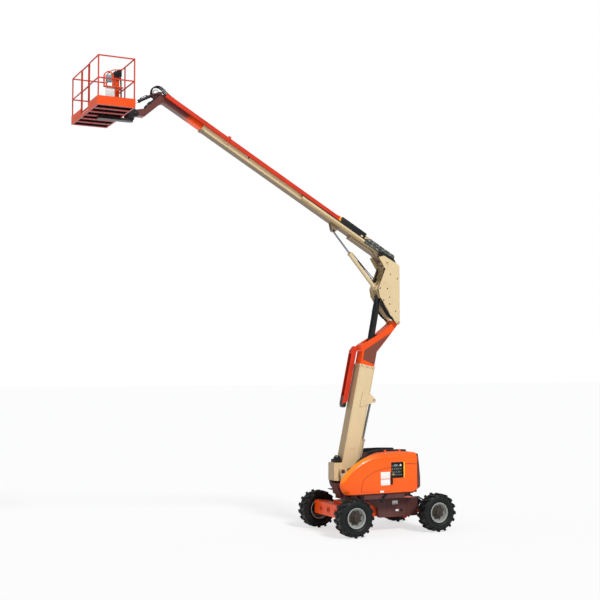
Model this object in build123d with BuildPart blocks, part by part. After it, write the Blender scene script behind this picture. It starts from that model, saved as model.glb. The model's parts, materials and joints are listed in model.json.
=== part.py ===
"""Articulating boom lift on four wheels, with a telescopic tower and a telescopic main boom.

Millimetres. +X points from the machine to its platform, +Y to its left, +Z up. The origin is on the
ground, midway between the two axles and on the centre line. The booms stand raised, as at rest.
"""
from build123d import *
from math import atan2, cos, degrees, hypot, radians, sin
import os

os.makedirs("parts", exist_ok=True)

# ---------------------------------------------------------------- driving dimensions
# Chassis and wheels
wheelbase = 2480.0
wheel_track = 2060.0
tyre_radius = 500.0
tyre_width = 360.0
lug_height = 22.0
lug_width = 72.0
lug_slant = 62.0
lug_tip_drop = 3.6
lugs_per_side = 16
rim_radius = 262.0
rim_width = 290.0
rim_wall = 14.0
hub_radius = 118.0
chassis_length = 2250.0
chassis_half_width = 420.0
chassis_bottom = 400.0
chassis_top = 800.0
chassis_plate = 20.0
lug_eye_x = 690.0
lug_eye_y = 355.0
lug_eye_radius = 22.0
lug_eye_drop = 55.0
lug_eye_plate = 24.0
beam_depth = 340.0
beam_height = 340.0
side_box_width = 120.0
side_box_front = 230.0
side_box_rear = -960.0
kingpin_offset = 290.0
kingpin_radius = 30.0
steer_arm_reach = 230.0
tie_rod_radius = 20.0

# Turntable
swing_x = 250.0
bearing_radius = 420.0
bearing_height = 60.0
base_plate = 25.0
channel_half_width = 250.0
side_plate = 16.0
deck_bottom = 905.0
deck_half_width = 620.0
wing_half_width = 885.0
wing_plate = 20.0
tyre_clearance = 18.0
hood_wall = 22.0
hood_gap = 22.0
hood_inner_y = 424.0
cowl_gap = 6.0
hood_outer_y = 925.0
hood_corner = 150.0
hood_top = 2095.0
hood_nose_x = 1525.0
right_nose_x = 1000.0
right_cowl_nose_x = 1190.0
hood_rear_x = -720.0
weight_front_x = -545.0
tail_x = -840.0

# Tower boom, from its lower pin: n forward of it, s along it
tower_angle = 78.0
tower_pivot = (1150.0, 1600.0)
tower_width = 320.0
tower_front = 10.0
tower_depth = 460.0
tower_wall = 8.0
tower_length = 2880.0
fly_clearance = 7.0
tower_fly_tail = 1450.0
pivot_pin = 35.0
pin_gap = 0.5
seat = 0.3
side_gap = 10.0
lift_eye = (-596.0, 2008.0)
lift_base = (740.0, 1020.0)
carrier_depth = 140.0
carrier_width = 165.0

# Upright between the two booms, from its lower pin
upright_pin = (-870.0, 4205.0)
main_rise = (340.0, 1610.0)
upright_half_width = 256.0
upright_plate = 14.0
main_base = (575.0, 915.0)
level_pin = (490.0, 695.0)

# Main boom, from its root pin: u along it, v above it
boom_angle = 29.95
boom_width = 240.0
boom_depth = 250.0
boom_drop = 78.0
boom_wall = 7.0
boom_tail = -100.0
boom_length = 6190.0
fly_width = 204.0
fly_depth = 212.0
fly_tail = 1250.0
fly_nose = 7200.0
main_eye = (1740.0, -60.0)
push_width = 58.0
push_depth = 100.0
push_tail = 1800.0

# Lift and levelling cylinders
tower_barrel = 66.0
tower_rod = 32.0
main_barrel = 55.0
main_rod = 26.0
level_barrel = 51.0
level_rod = 24.0
level_spread = 57.0
slave_barrel = 36.0
slave_rod = 17.0

# Platform
support_pin = (7787.0, -577.0)
platform_reach = 800.0
rotator_reach = 130.0
platform_length = 910.0
platform_width = 2440.0
platform_height = 1100.0
floor_drop = 130.0
floor_frame = 60.0
toe_height = 150.0
rail_radius = 17.0
gate_width = 640.0
gate_centre = 40.0


# ---------------------------------------------------------------- side-view helpers
def at(origin, angle, a, b):
    """Side-view point a along the angle above +X and b square to it, from an origin."""
    c, s = cos(radians(angle)), sin(radians(angle))
    return (origin[0] + a * c - b * s, origin[1] + a * s + b * c)


def side(y=0.0, origin=(0.0, 0.0), angle=0.0):
    """Side-view plane at y: its x runs along the angle above +X, its y square to that."""
    c, s = cos(radians(angle)), sin(radians(angle))
    return Plane(origin=(origin[0], y, origin[1]), x_dir=(c, 0, s), z_dir=(0, -1, 0))


def across(origin, angle, start, y=0.0):
    """Plane square to a side-view direction, its x along +Y and its y square to the direction."""
    x, z = at(origin, angle, start, 0.0)
    c, s = cos(radians(angle)), sin(radians(angle))
    return Plane(origin=(x, y, z), x_dir=(0, 1, 0), z_dir=(c, 0, s))


def face(*points):
    """Closed straight-sided outline in the sketch that is open."""
    Polygon(*points, align=None)


def rect(low_x, low_y, high_x, high_y, mode=Mode.ADD):
    """Rectangle between two corners in the sketch that is open."""
    with Locations(((low_x + high_x) / 2, (low_y + high_y) / 2)):
        Rectangle(high_x - low_x, high_y - low_y, mode=mode)


def bearing_and_length(a, b):
    return degrees(atan2(b[1] - a[1], b[0] - a[0])), hypot(b[0] - a[0], b[1] - a[1])


def finish(part, name):
    part.label = name
    export_step(part, f"parts/{name}.step")


# ---------------------------------------------------------------- main pins, worked out
axle_z = tyre_radius
wheel_y = wheel_track / 2
kingpin_y = wheel_y - kingpin_offset
fixed_x = wheelbase / 2
steer_x = -wheelbase / 2

lean = 90.0 - tower_angle
tower_fly_width = tower_width - 2 * (tower_wall + fly_clearance)
tower_fly_front = tower_front - tower_wall - fly_clearance
tower_fly_rear = tower_front - tower_depth + tower_wall + fly_clearance
tower_fly_depth = tower_fly_front - tower_fly_rear
low_pin = at(tower_pivot, lean, *upright_pin)
main_pivot = (low_pin[0] + main_rise[0], low_pin[1] + main_rise[1])
main_base_pin = (low_pin[0] + main_base[0], low_pin[1] + main_base[1])
level_base_pin = (low_pin[0] + level_pin[0], low_pin[1] + level_pin[1])
level_eye = (-280.0, 2330.0)
level_eye_pin = at(tower_pivot, lean, *level_eye)
tower_eye_pin = at(tower_pivot, lean, *lift_eye)
main_eye_pin = at(main_pivot, boom_angle, *main_eye)
support_pivot = at(main_pivot, boom_angle, *support_pin)
slave_base = (7666.0, 93.0)
slave_base_pin = at(main_pivot, boom_angle, *slave_base)
slave_lever = (60.0, 250.0)
slave_eye_pin = (support_pivot[0] + slave_lever[0], support_pivot[1] + slave_lever[1])
rotator_x = support_pivot[0] + rotator_reach
platform_x = support_pivot[0] + platform_reach
floor_bottom = support_pivot[1] - floor_drop
floor_top = floor_bottom + floor_frame
rail_top = floor_top + platform_height


# ---------------------------------------------------------------- chassis
bearing_bottom = chassis_top
base_bottom = bearing_bottom + bearing_height
base_top = base_bottom + base_plate
beam_bottom = axle_z - 80.0
beam_top = beam_bottom + beam_height
beam_half = wheel_y - tyre_width / 2 - 55.0
hub_face = wheel_y - tyre_width / 2 + 25.0

chassis_plan = [  # x, half width
    (chassis_length / 2, chassis_half_width - 110),
    (chassis_length / 2 - 380, chassis_half_width),
    (-chassis_length / 2 + 380, chassis_half_width),
    (-chassis_length / 2, chassis_half_width - 110),
]
with BuildPart() as chassis_frame:
    with BuildSketch(Plane.XY.offset(chassis_bottom)):
        face(*chassis_plan, *[(x, -y) for x, y in reversed(chassis_plan)])
    extrude(amount=chassis_top - chassis_bottom)
    with BuildSketch(Plane.XY.offset(chassis_bottom)):
        rect(
            -chassis_length / 2 + chassis_plate,
            -chassis_half_width + 110 + chassis_plate,
            chassis_length / 2 - chassis_plate,
            chassis_half_width - 110 - chassis_plate,
        )
    extrude(amount=chassis_top - chassis_bottom - chassis_plate, mode=Mode.SUBTRACT)
    for lug_x in (-lug_eye_x, lug_eye_x):
        for lug_y in (-lug_eye_y, lug_eye_y):
            # tie-down lugs under the four corners, each with an eye
            with BuildSketch(side(lug_y, (lug_x, chassis_bottom))):
                rect(-50, -lug_eye_drop - 42, 50, 2)
                with Locations((0, -lug_eye_drop)):
                    Circle(lug_eye_radius, mode=Mode.SUBTRACT)
            extrude(amount=lug_eye_plate / 2, both=True)
finish(chassis_frame.part, "chassis_frame")

with BuildPart() as side_boxes:
    for sign in (1, -1):
        y_mid = sign * (chassis_half_width + side_box_width / 2)
        with BuildSketch(side(y_mid)):
            face(
                (side_box_rear, chassis_bottom - 25),
                (side_box_front - 25, chassis_bottom - 25),
                (side_box_front, chassis_bottom + 30),
                (side_box_front + 35, chassis_bottom + 235),
                (side_box_front + 340, chassis_top + 45),
                (side_box_rear, chassis_top + 45),
            )
        extrude(amount=side_box_width / 2, both=True)
finish(side_boxes.part, "side_boxes")

with BuildPart() as fixed_axle:
    with BuildSketch(side(0.0)):
        rect(fixed_x - beam_depth / 2 + 55, beam_bottom, fixed_x + beam_depth / 2 + 30, beam_top)
    extrude(amount=beam_half, both=True)
    fillet(fixed_axle.edges().filter_by(Axis.Y), radius=22)
    for sign in (1, -1):
        with BuildSketch(side(sign * beam_half)):
            with Locations((fixed_x, axle_z)):
                Circle(hub_radius + 20)
        extrude(amount=-sign * (hub_face - seat - beam_half))
    for boss_y in (-430.0, 0.0, 430.0):
        with BuildSketch(Plane.YZ.offset(fixed_x + beam_depth / 2 + 30)):
            with Locations((boss_y, beam_bottom + beam_height / 2)):
                Circle(70)
        extrude(amount=14)
finish(fixed_axle.part, "fixed_axle")

yoke_gap = 150.0
yoke_plate = 28.0
with BuildPart() as steer_axle:
    with BuildSketch(side(0.0)):
        rect(steer_x - 95, axle_z - 90, steer_x + 95, axle_z + 100)
    extrude(amount=kingpin_y - 90, both=True)
    for sign in (1, -1):
        for z_low in (axle_z - yoke_gap / 2 - yoke_plate, axle_z + yoke_gap / 2):
            with BuildSketch(Plane.XY.offset(z_low)):
                rect(steer_x - 75, sign * (kingpin_y - 95) - 5, steer_x + 75, sign * (kingpin_y - 95) + 5)
                with Locations((steer_x, sign * kingpin_y)):
                    Circle(62)
                face(
                    (steer_x - 75, sign * (kingpin_y - 95)),
                    (steer_x - 62, sign * kingpin_y),
                    (steer_x + 62, sign * kingpin_y),
                    (steer_x + 75, sign * (kingpin_y - 95)),
                )
            extrude(amount=yoke_plate)
        with Locations((steer_x, sign * kingpin_y, axle_z)):
            Cylinder(kingpin_radius, yoke_gap + 2 * yoke_plate + 10)
    # pivot block under the chassis and the steering cylinder's barrel in front of the beam
    with BuildSketch(side(0.0)):
        rect(steer_x - 60, axle_z + 80, -chassis_length / 2 - 0.3, axle_z + 250)
    extrude(amount=130, both=True)
    with BuildSketch(side(0.0)):
        with Locations((steer_x - 118, axle_z + 62)):
            Circle(36)
    extrude(amount=300, both=True)
finish(steer_axle.part, "steer_axle")

with BuildPart() as swing_bearing:
    with Locations((swing_x, 0, bearing_bottom + bearing_height / 2)):
        Cylinder(bearing_radius, bearing_height)
        Cylinder(bearing_radius - 90, bearing_height, mode=Mode.SUBTRACT)
finish(swing_bearing.part, "swing_bearing")

for name, sign in (("knuckle_left", 1), ("knuckle_right", -1)):
    with BuildPart() as knuckle:
        with Locations((steer_x, sign * kingpin_y, axle_z)):
            Cylinder(52, yoke_gap - 12)
        with BuildSketch(side(sign * kingpin_y)):
            with Locations((steer_x, axle_z)):
                Circle(55)
        extrude(amount=-sign * (hub_face - seat - kingpin_y))
        with BuildSketch(side(sign * (hub_face - 30))):
            with Locations((steer_x, axle_z)):
                Circle(hub_radius)
        extrude(amount=-sign * (30 - seat))
        with BuildSketch(Plane.XY.offset(axle_z - 30)):
            rect(steer_x - steer_arm_reach, sign * kingpin_y - 24, steer_x, sign * kingpin_y + 24)
            with Locations((steer_x - steer_arm_reach, sign * kingpin_y)):
                Circle(32)
        extrude(amount=24)
        with Locations((steer_x, sign * kingpin_y, axle_z)):
            Cylinder(kingpin_radius + pin_gap, 400, mode=Mode.SUBTRACT)
        with BuildSketch(Plane.XY.offset(axle_z - 30)):
            with Locations((steer_x - steer_arm_reach, sign * kingpin_y)):
                Circle(11)
        extrude(amount=70)
    finish(knuckle.part, name)

with BuildPart() as tie_rod:
    tie_z = axle_z + 16
    with BuildSketch(side(0.0)):
        with Locations((steer_x - steer_arm_reach, tie_z)):
            Circle(tie_rod_radius)
    extrude(amount=kingpin_y - 20, both=True)
    with Locations(*[(steer_x - steer_arm_reach, s * kingpin_y, tie_z) for s in (1, -1)]):
        Cylinder(30, 32)
        Cylinder(11 + pin_gap, 32, mode=Mode.SUBTRACT)
finish(tie_rod.part, "tie_rod")


# ---------------------------------------------------------------- wheels
# name, x, side, outward distance of the disc from the wheel's centre plane
wheel_places = (
    ("fixed_left", fixed_x, 1),
    ("fixed_right", fixed_x, -1),
    ("steer_left", steer_x, 1),
    ("steer_right", steer_x, -1),
)
crown = tyre_radius - lug_height
half_tyre = tyre_width / 2
half_rim = rim_width / 2
for name, wheel_x, sign in wheel_places:
    # the tyre's section: across the wheel from its centre plane, and out from its axis
    with BuildPart() as tyre:
        with BuildSketch(Plane.YZ.offset(wheel_x)):
            with BuildLine():
                Polyline(
                    (sign * wheel_y + half_rim - 8, axle_z + rim_radius + 1),
                    (sign * wheel_y - half_rim + 8, axle_z + rim_radius + 1),
                    (sign * wheel_y - half_tyre + 6, axle_z + rim_radius + 70),
                    (sign * wheel_y - half_tyre + 4, axle_z + crown - 70),
                    (sign * wheel_y - half_tyre + 40, axle_z + crown - 12),
                    (sign * wheel_y - 60, axle_z + crown),
                    (sign * wheel_y + 60, axle_z + crown),
                    (sign * wheel_y + half_tyre - 40, axle_z + crown - 12),
                    (sign * wheel_y + half_tyre - 4, axle_z + crown - 70),
                    (sign * wheel_y + half_tyre - 6, axle_z + rim_radius + 70),
                    close=True,
                )
            make_face()
        revolve(axis=Axis((wheel_x, 0, axle_z), (0, 1, 0)))
        # two rows of slanted lugs, staggered by half a pitch
        pitch = 360.0 / lugs_per_side
        for row in (1, -1):
            for index in range(lugs_per_side):
                turn = index * pitch + (pitch / 2 if row < 0 else 0)
                up = Vector(sin(radians(turn)), 0, -cos(radians(turn)))
                foot = Vector(wheel_x, sign * wheel_y, axle_z) + up * (crown - 52)
                lug_plane = Plane(origin=foot, x_dir=(0, 1, 0), z_dir=up)
                with BuildSketch(lug_plane):
                    face(
                        (row * 10, -lug_width / 2 - lug_slant / 2),
                        (row * 10, lug_width / 2 - lug_slant / 2),
                        (row * (half_tyre - 1), lug_width / 2 + lug_slant / 2),
                        (row * (half_tyre - 1), -lug_width / 2 + lug_slant / 2),
                    )
                extrude(amount=lug_height + 52 - lug_tip_drop)
    finish(tyre.part, f"tyre_{name}")

    # the rim's section, from its inner flange round to the hub
    disc = sign * 45.0
    with BuildPart() as rim:
        with BuildSketch(Plane.YZ.offset(wheel_x)):
            with BuildLine():
                Polyline(
                    (sign * wheel_y - half_rim, axle_z + rim_radius),
                    (sign * wheel_y + half_rim, axle_z + rim_radius),
                    (sign * wheel_y + half_rim, axle_z + rim_radius - rim_wall),
                    (sign * wheel_y + half_rim - 40, axle_z + rim_radius - rim_wall - 22),
                    (sign * wheel_y - half_rim + 40, axle_z + rim_radius - rim_wall - 22),
                    (sign * wheel_y - half_rim, axle_z + rim_radius - rim_wall),
                    close=True,
                )
            make_face()
            # wheel disc
            rect(
                sign * wheel_y + disc - 9,
                axle_z + hub_radius - 30,
                sign * wheel_y + disc + 9,
                axle_z + rim_radius - rim_wall - 10,
            )
        revolve(axis=Axis((wheel_x, 0, axle_z), (0, 1, 0)))
        # hub and gear housing, from the axle's face out past the disc
        inner_face = sign * hub_face
        with BuildSketch(side(inner_face)):
            with Locations((wheel_x, axle_z)):
                Circle(hub_radius)
        extrude(amount=-sign * (wheel_y + 80 - hub_face))
        with BuildSketch(side(sign * (wheel_y + 80))):
            with Locations((wheel_x, axle_z)):
                Circle(hub_radius - 38)
        extrude(amount=-sign * 38)
    finish(rim.part, f"rim_{name}")


# ---------------------------------------------------------------- turntable
wing_bottom = 2 * tyre_radius + tyre_clearance
wing_top = wing_bottom + wing_plate
hood_bottom = wing_top + hood_gap
wing_front = 1000.0
wing_rear = -620.0
deck_front = 930.0
deck_rear = -600.0
skirt_front = 850.0
skirt_rear = -350.0
skirt_half_width = 880.0
channel_outline = [  # x, z of the plates beside the tower
    (tail_x + 50, base_top),
    (1090.0, base_top),
    (1090.0, 1180.0),
    (1180.0, 1290.0),
    (1214.0, 1560.0),
    (1214.0, 1640.0),
    (1180.0, 1665.0),
    (1000.0, 1665.0),
    (900.0, 1700.0),
    (620.0, 1700.0),
    (470.0, 1960.0),
    (380.0, 2030.0),
    (-690.0, 2030.0),
    (tail_x + 50, 1900.0),
]
with BuildPart() as turntable_frame:
    # base plate on the swing bearing, decks under the hoods
    with BuildSketch(Plane.XY.offset(base_bottom)):
        rect(tail_x + 50, -channel_half_width - side_plate, 1090.0, channel_half_width + side_plate)
        with Locations((swing_x, 0)):
            Circle(bearing_radius)
    extrude(amount=base_plate)
    for sign in (1, -1):
        plate_mid = sign * (channel_half_width + side_plate / 2)
        with BuildSketch(side(plate_mid)):
            face(*channel_outline)
        extrude(amount=side_plate / 2, both=True)
        inner = sign * (channel_half_width + side_plate)
        low_y, high_y = sorted((inner, sign * deck_half_width))
        with BuildSketch(Plane.XY.offset(deck_bottom)):
            rect(deck_rear, low_y, deck_front, high_y)
        extrude(amount=wing_bottom - deck_bottom)
        with BuildSketch(Plane.XY.offset(deck_bottom)):
            rect(deck_rear + 15, low_y + 15, deck_front - 15, high_y - 15)
        extrude(amount=wing_bottom - deck_bottom - 15, mode=Mode.SUBTRACT)
        low_y, high_y = sorted((inner, sign * wing_half_width))
        with BuildSketch(Plane.XY.offset(wing_bottom)):
            rect(wing_rear, low_y, wing_front, high_y)
        extrude(amount=wing_plate)
        # skirt under the hoods, outside the deck
        low_y, high_y = sorted((sign * (deck_half_width - 15), sign * skirt_half_width))
        with BuildSketch(Plane.XY.offset(deck_bottom)):
            rect(skirt_rear, low_y, skirt_front, high_y)
        extrude(amount=wing_bottom - deck_bottom)
        with BuildSketch(Plane.XY.offset(deck_bottom)):
            rect(skirt_rear + 15, low_y + 15, skirt_front - 15, high_y - 15)
        extrude(amount=wing_bottom - deck_bottom - 15, mode=Mode.SUBTRACT)
    # box nose under the foot of the tower, open behind
    with BuildSketch(side(0.0)):
        face((1074.0, base_bottom), (1110.0, base_bottom + 40), (1340.0, 1300.0), (1074.0, 1262.0))
    extrude(amount=tower_width / 2, both=True)
    with BuildSketch(side(0.0)):
        face((1070.0, base_bottom + 20), (1100.0, base_bottom + 60), (1308.0, 1282.0), (1070.0, 1248.0))
    extrude(amount=tower_width / 2 - 14, both=True, mode=Mode.SUBTRACT)
    with BuildSketch(Plane.YZ.offset(1074.0)):
        rect(-channel_half_width - side_plate, base_bottom, channel_half_width + side_plate, 1180.0)
    extrude(amount=16)
    # pins of the tower and of its lift cylinder
    with BuildSketch(side(0.0)):
        with Locations(tower_pivot):
            Circle(pivot_pin)
        with Locations(lift_base):
            Circle(pivot_pin - 3)
    extrude(amount=channel_half_width + side_plate, both=True)
finish(turntable_frame.part, "turntable_frame")

weight_outline = [  # x, z of the slab behind the hoods
    (hood_rear_x - 12, 1125.0),
    (tail_x, 1190.0),
    (tail_x, 1420.0),
    (tail_x + 36, 1800.0),
    (tail_x + 88, 2030.0),
    (hood_rear_x - 12, 2048.0),
]
with BuildPart() as counterweight:
    for sign in (1, -1):
        inner = channel_half_width + side_plate
        with BuildSketch(side(sign * (inner + hood_outer_y - 5) / 2)):
            face(*weight_outline)
        extrude(amount=(hood_outer_y - 5 - inner) / 2, both=True)
        # the part of the weight inside the hood
        low_y, high_y = sorted((sign * (inner + 18), sign * (hood_outer_y - 45)))
        with BuildSketch(Plane.XY.offset(wing_top)):
            rect(hood_rear_x - 60, low_y, weight_front_x, high_y)
        extrude(amount=850)
        with BuildSketch(Plane.XY.offset(wing_top)):
            rect(tail_x - 10, low_y - 40, hood_rear_x - 12, high_y + 40)
        extrude(amount=87, mode=Mode.SUBTRACT)
        with BuildSketch(side(0.0)):
            face((hood_rear_x - 12, 1125.0), (tail_x - 1, 1191.0), (tail_x - 1, 1000.0), (hood_rear_x - 12, 1000.0))
        extrude(amount=1000, both=True, mode=Mode.SUBTRACT)
    outer_edges = counterweight.edges().filter_by(lambda e: abs(e.center().Y) > hood_outer_y - 10)
    rear_edges = outer_edges.filter_by(lambda e: e.center().X < hood_rear_x - 80)
    chamfer(rear_edges.filter_by(lambda e: e.center().Z > 1200), length=38)
finish(counterweight.part, "counterweight")

with BuildPart() as power_unit:
    # engine and pumps under the right hood, one closed mass
    with Locations((0, -(channel_half_width + 330), wing_top + 330)):
        Box(820, 420, 660)
finish(power_unit.part, "power_unit")

with BuildPart() as tanks:
    with Locations((620, channel_half_width + 300, wing_top + 230)):
        Box(520, 400, 460)
    with Locations((-420, channel_half_width + 300, wing_top + 260)):
        Box(200, 400, 520)
    fillet(tanks.edges().filter_by(Axis.Z), radius=40)
finish(tanks.part, "tanks")

panel_x = (-305.0, 60.0)
panel_z = (1450.0, 1835.0)
with BuildPart() as control_panel:
    panel_y = hood_outer_y - 95
    with BuildSketch(side(panel_y)):
        rect(panel_x[0] - 20, panel_z[0] - 20, panel_x[1] + 20, panel_z[1] + 20)
    extrude(amount=30, both=True)
    # shelf that carries the panel from the wing
    with BuildSketch(side(panel_y)):
        rect(-160, wing_top, -100, panel_z[0] - 20)
    extrude(amount=25, both=True)
finish(control_panel.part, "control_panel")


def hood_outline(inset, nose_x=hood_nose_x, mode=Mode.ADD):
    """Side outline of a hood, drawn in by an inset: flat foot, rounded nose, long crowned top."""
    nose = nose_x - inset
    crest = hood_top - inset
    foot = (nose - 150, hood_bottom)
    cheek = (nose - 95, 1520.0 - inset * 0.7)
    brow = (150.0, crest - 20)
    rear = (hood_rear_x, crest - 22)
    heel = (hood_rear_x, hood_bottom + 62)
    toe = (hood_rear_x + 125, hood_bottom)
    edges = [
        Line(toe, foot),
        ThreePointArc(foot, (nose, hood_bottom + 180), cheek),
        ThreePointArc(cheek, (nose - 520, 1880.0 - inset * 0.9), brow),
        ThreePointArc(brow, (-200.0, crest), rear),
        Line(rear, heel),
        Line(heel, toe),
    ]
    make_face(edges, mode=mode)


hinge_y = hood_inner_y - cowl_gap / 2
hinge_z = hood_top + 16.0
hinge_places = (-470.0, -30.0)
hinge_length = 60.0
hinge_eye = 12.0
hinge_pin = 6.0
for name, sign, nose_x in (("hood_left", 1, hood_nose_x), ("hood_right", -1, right_nose_x)):
    with BuildPart() as hood:
        with BuildSketch(side(sign * hood_outer_y)):
            hood_outline(0.0, nose_x)
        extrude(amount=sign * (hood_outer_y - hood_inner_y))
        rim_edges = hood.edges().filter_by(lambda e: abs(abs(e.center().Y) - hood_outer_y) < 1)
        rim_edges = rim_edges.filter_by(lambda e: e.center().Z > hood_bottom + 40)
        rim_edges = rim_edges.filter_by(lambda e: e.center().X > hood_rear_x + 5)
        fillet(rim_edges, radius=hood_corner)
        with BuildPart(mode=Mode.PRIVATE) as hollow:
            with BuildSketch(side(sign * (hood_outer_y - hood_wall))):
                hood_outline(hood_wall, nose_x)
            extrude(amount=sign * (hood_outer_y - hood_wall - hood_inner_y + 50))
            edges = hollow.edges().filter_by(
                lambda e: abs(abs(e.center().Y) - hood_outer_y + hood_wall) < 1
            )
            edges = edges.filter_by(lambda e: e.center().Z > hood_bottom + 40)
            edges = edges.filter_by(lambda e: e.center().X > hood_rear_x + 5)
            fillet(edges, radius=hood_corner - hood_wall)
        add(hollow.part, mode=Mode.SUBTRACT)
        if sign > 0:
            with BuildSketch(side(hood_outer_y + 10)):
                rect(panel_x[0], panel_z[0], panel_x[1], panel_z[1])
            extrude(amount=60, mode=Mode.SUBTRACT)
        for place in hinge_places:
            with BuildSketch(Plane.YZ.offset(place - hinge_length / 2)):
                with Locations((sign * hinge_y, hinge_z)):
                    Circle(hinge_eye)
                low_y, high_y = sorted((sign * (hood_inner_y + 1), sign * (hood_inner_y + 24)))
                rect(low_y, hinge_z - 36, high_y, hinge_z)
                with Locations((sign * hinge_y, hinge_z)):
                    Circle(hinge_pin + pin_gap, mode=Mode.SUBTRACT)
            extrude(amount=hinge_length)
    finish(hood.part, name)

cowl_inner = channel_half_width + side_plate
cowl_outer = hood_inner_y - cowl_gap
with BuildPart() as cowls:
    # fixed strips between the hoods and the tower's channel, each with an inner wall
    for sign, nose_x in ((1, hood_nose_x), (-1, right_cowl_nose_x)):
        with BuildSketch(side(sign * cowl_outer)):
            hood_outline(0.0, nose_x)
        extrude(amount=sign * (cowl_outer - cowl_inner))
        with BuildSketch(side(sign * (cowl_outer + 1))):
            hood_outline(hood_wall, nose_x)
        extrude(amount=sign * (cowl_outer + 1 - cowl_inner - 12), mode=Mode.SUBTRACT)
        for place in hinge_places:
            for end in (-1, 1):
                start = place + end * (hinge_length / 2 + seat)
                with BuildSketch(Plane.YZ.offset(start)):
                    with Locations((sign * hinge_y, hinge_z)):
                        Circle(hinge_eye - 1)
                    low_y, high_y = sorted((sign * (cowl_outer - 18), sign * cowl_outer))
                    rect(low_y, hinge_z - 40, high_y, hinge_z)
                extrude(amount=end * 8)
            with BuildSketch(Plane.YZ.offset(place - hinge_length / 2 - 4)):
                with Locations((sign * hinge_y, hinge_z)):
                    Circle(hinge_pin)
            extrude(amount=hinge_length + 8)
finish(cowls.part, "cowls")

with BuildPart() as top_covers:
    for sign in (1, -1):
        with BuildSketch(side(sign * (cowl_outer - 38))):
            face(
                (540.0, 1900.0),
                (540.0, 2005.0),
                (430.0, 2080.0),
                (150.0, hood_top + 34),
                (-250.0, hood_top + 38),
                (hood_rear_x + 10, hood_top + 22),
                (hood_rear_x + 10, 1900.0),
            )
            hood_outline(-seat, hood_nose_x, Mode.SUBTRACT)
            hood_outline(-seat, right_cowl_nose_x, Mode.SUBTRACT)
        extrude(amount=sign * (cowl_outer - 38 - cowl_inner))
finish(top_covers.part, "top_covers")


# ---------------------------------------------------------------- cylinders
def make_barrel(base, eye, length, radius, rod, hub_width, name, pin, spread=0.0):
    """Barrel from its base eye towards the rod's eye, bored for the rod; spread makes a pair."""
    angle, _ = bearing_and_length(base, eye)
    with BuildPart() as barrel:
        for y in (spread, -spread) if spread else (0.0,):
            with BuildSketch(across(base, angle, pin * 0.5, y)):
                Circle(radius)
            extrude(amount=length - pin * 0.5)
            with BuildSketch(across(base, angle, length - 50, y)):
                Circle(radius + 7)
            extrude(amount=50)
        with BuildSketch(side(0.0, base)):
            Circle(pin * 2.0)
        extrude(amount=hub_width / 2, both=True)
        for y in (spread, -spread) if spread else (0.0,):
            with BuildSketch(across(base, angle, pin * 2.0 + 12, y)):
                Circle(rod + pin_gap)
            extrude(amount=length, mode=Mode.SUBTRACT)
        with BuildSketch(side(0.0, base)):
            Circle(pin + pin_gap)
        extrude(amount=hub_width, both=True, mode=Mode.SUBTRACT)
    finish(barrel.part, name)


def make_rod(base, eye, tail, radius, eye_radius, hub_width, name, stub, spread=0.0):
    """Rod from its tail inside the barrel to its eye, with a pin stub through the eye."""
    angle, length = bearing_and_length(base, eye)
    with BuildPart() as rod:
        for y in (spread, -spread) if spread else (0.0,):
            with BuildSketch(across(base, angle, tail, y)):
                Circle(radius)
            extrude(amount=length - tail)
        with BuildSketch(side(0.0, eye)):
            Circle(eye_radius)
        extrude(amount=hub_width / 2, both=True)
        with BuildSketch(side(0.0, eye)):
            Circle(eye_radius * 0.6)
        extrude(amount=stub / 2, both=True)
    finish(rod.part, name)


make_barrel(lift_base, tower_eye_pin, 1430.0, tower_barrel, tower_rod, 200.0, "tower_lift_barrel", 32.0)
make_rod(lift_base, tower_eye_pin, 1060.0, tower_rod, 48.0, 110.0, "tower_lift_rod", tower_width - 2 * seat)
make_barrel(main_base_pin, main_eye_pin, 1225.0, main_barrel, main_rod, 226.0, "main_lift_barrel", 28.0)
make_rod(main_base_pin, main_eye_pin, 520.0, main_rod, 38.0, 60.0, "main_lift_rod", 96.0 - 2 * seat)
make_barrel(
    level_base_pin, level_eye_pin, 1270.0, level_barrel, level_rod, 226.0, "level_barrel", 24.0, level_spread
)
level_stub = tower_fly_width - 28 - 2 * seat
make_rod(level_base_pin, level_eye_pin, 1150.0, level_rod, 36.0, 160.0, "level_rod", level_stub, level_spread)
make_barrel(slave_base_pin, slave_eye_pin, 390.0, slave_barrel, slave_rod, 76.0, "slave_barrel", 15.0)
make_rod(slave_base_pin, slave_eye_pin, 190.0, slave_rod, 24.0, 44.0, "slave_rod", 68.0 - 2 * seat)


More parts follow.
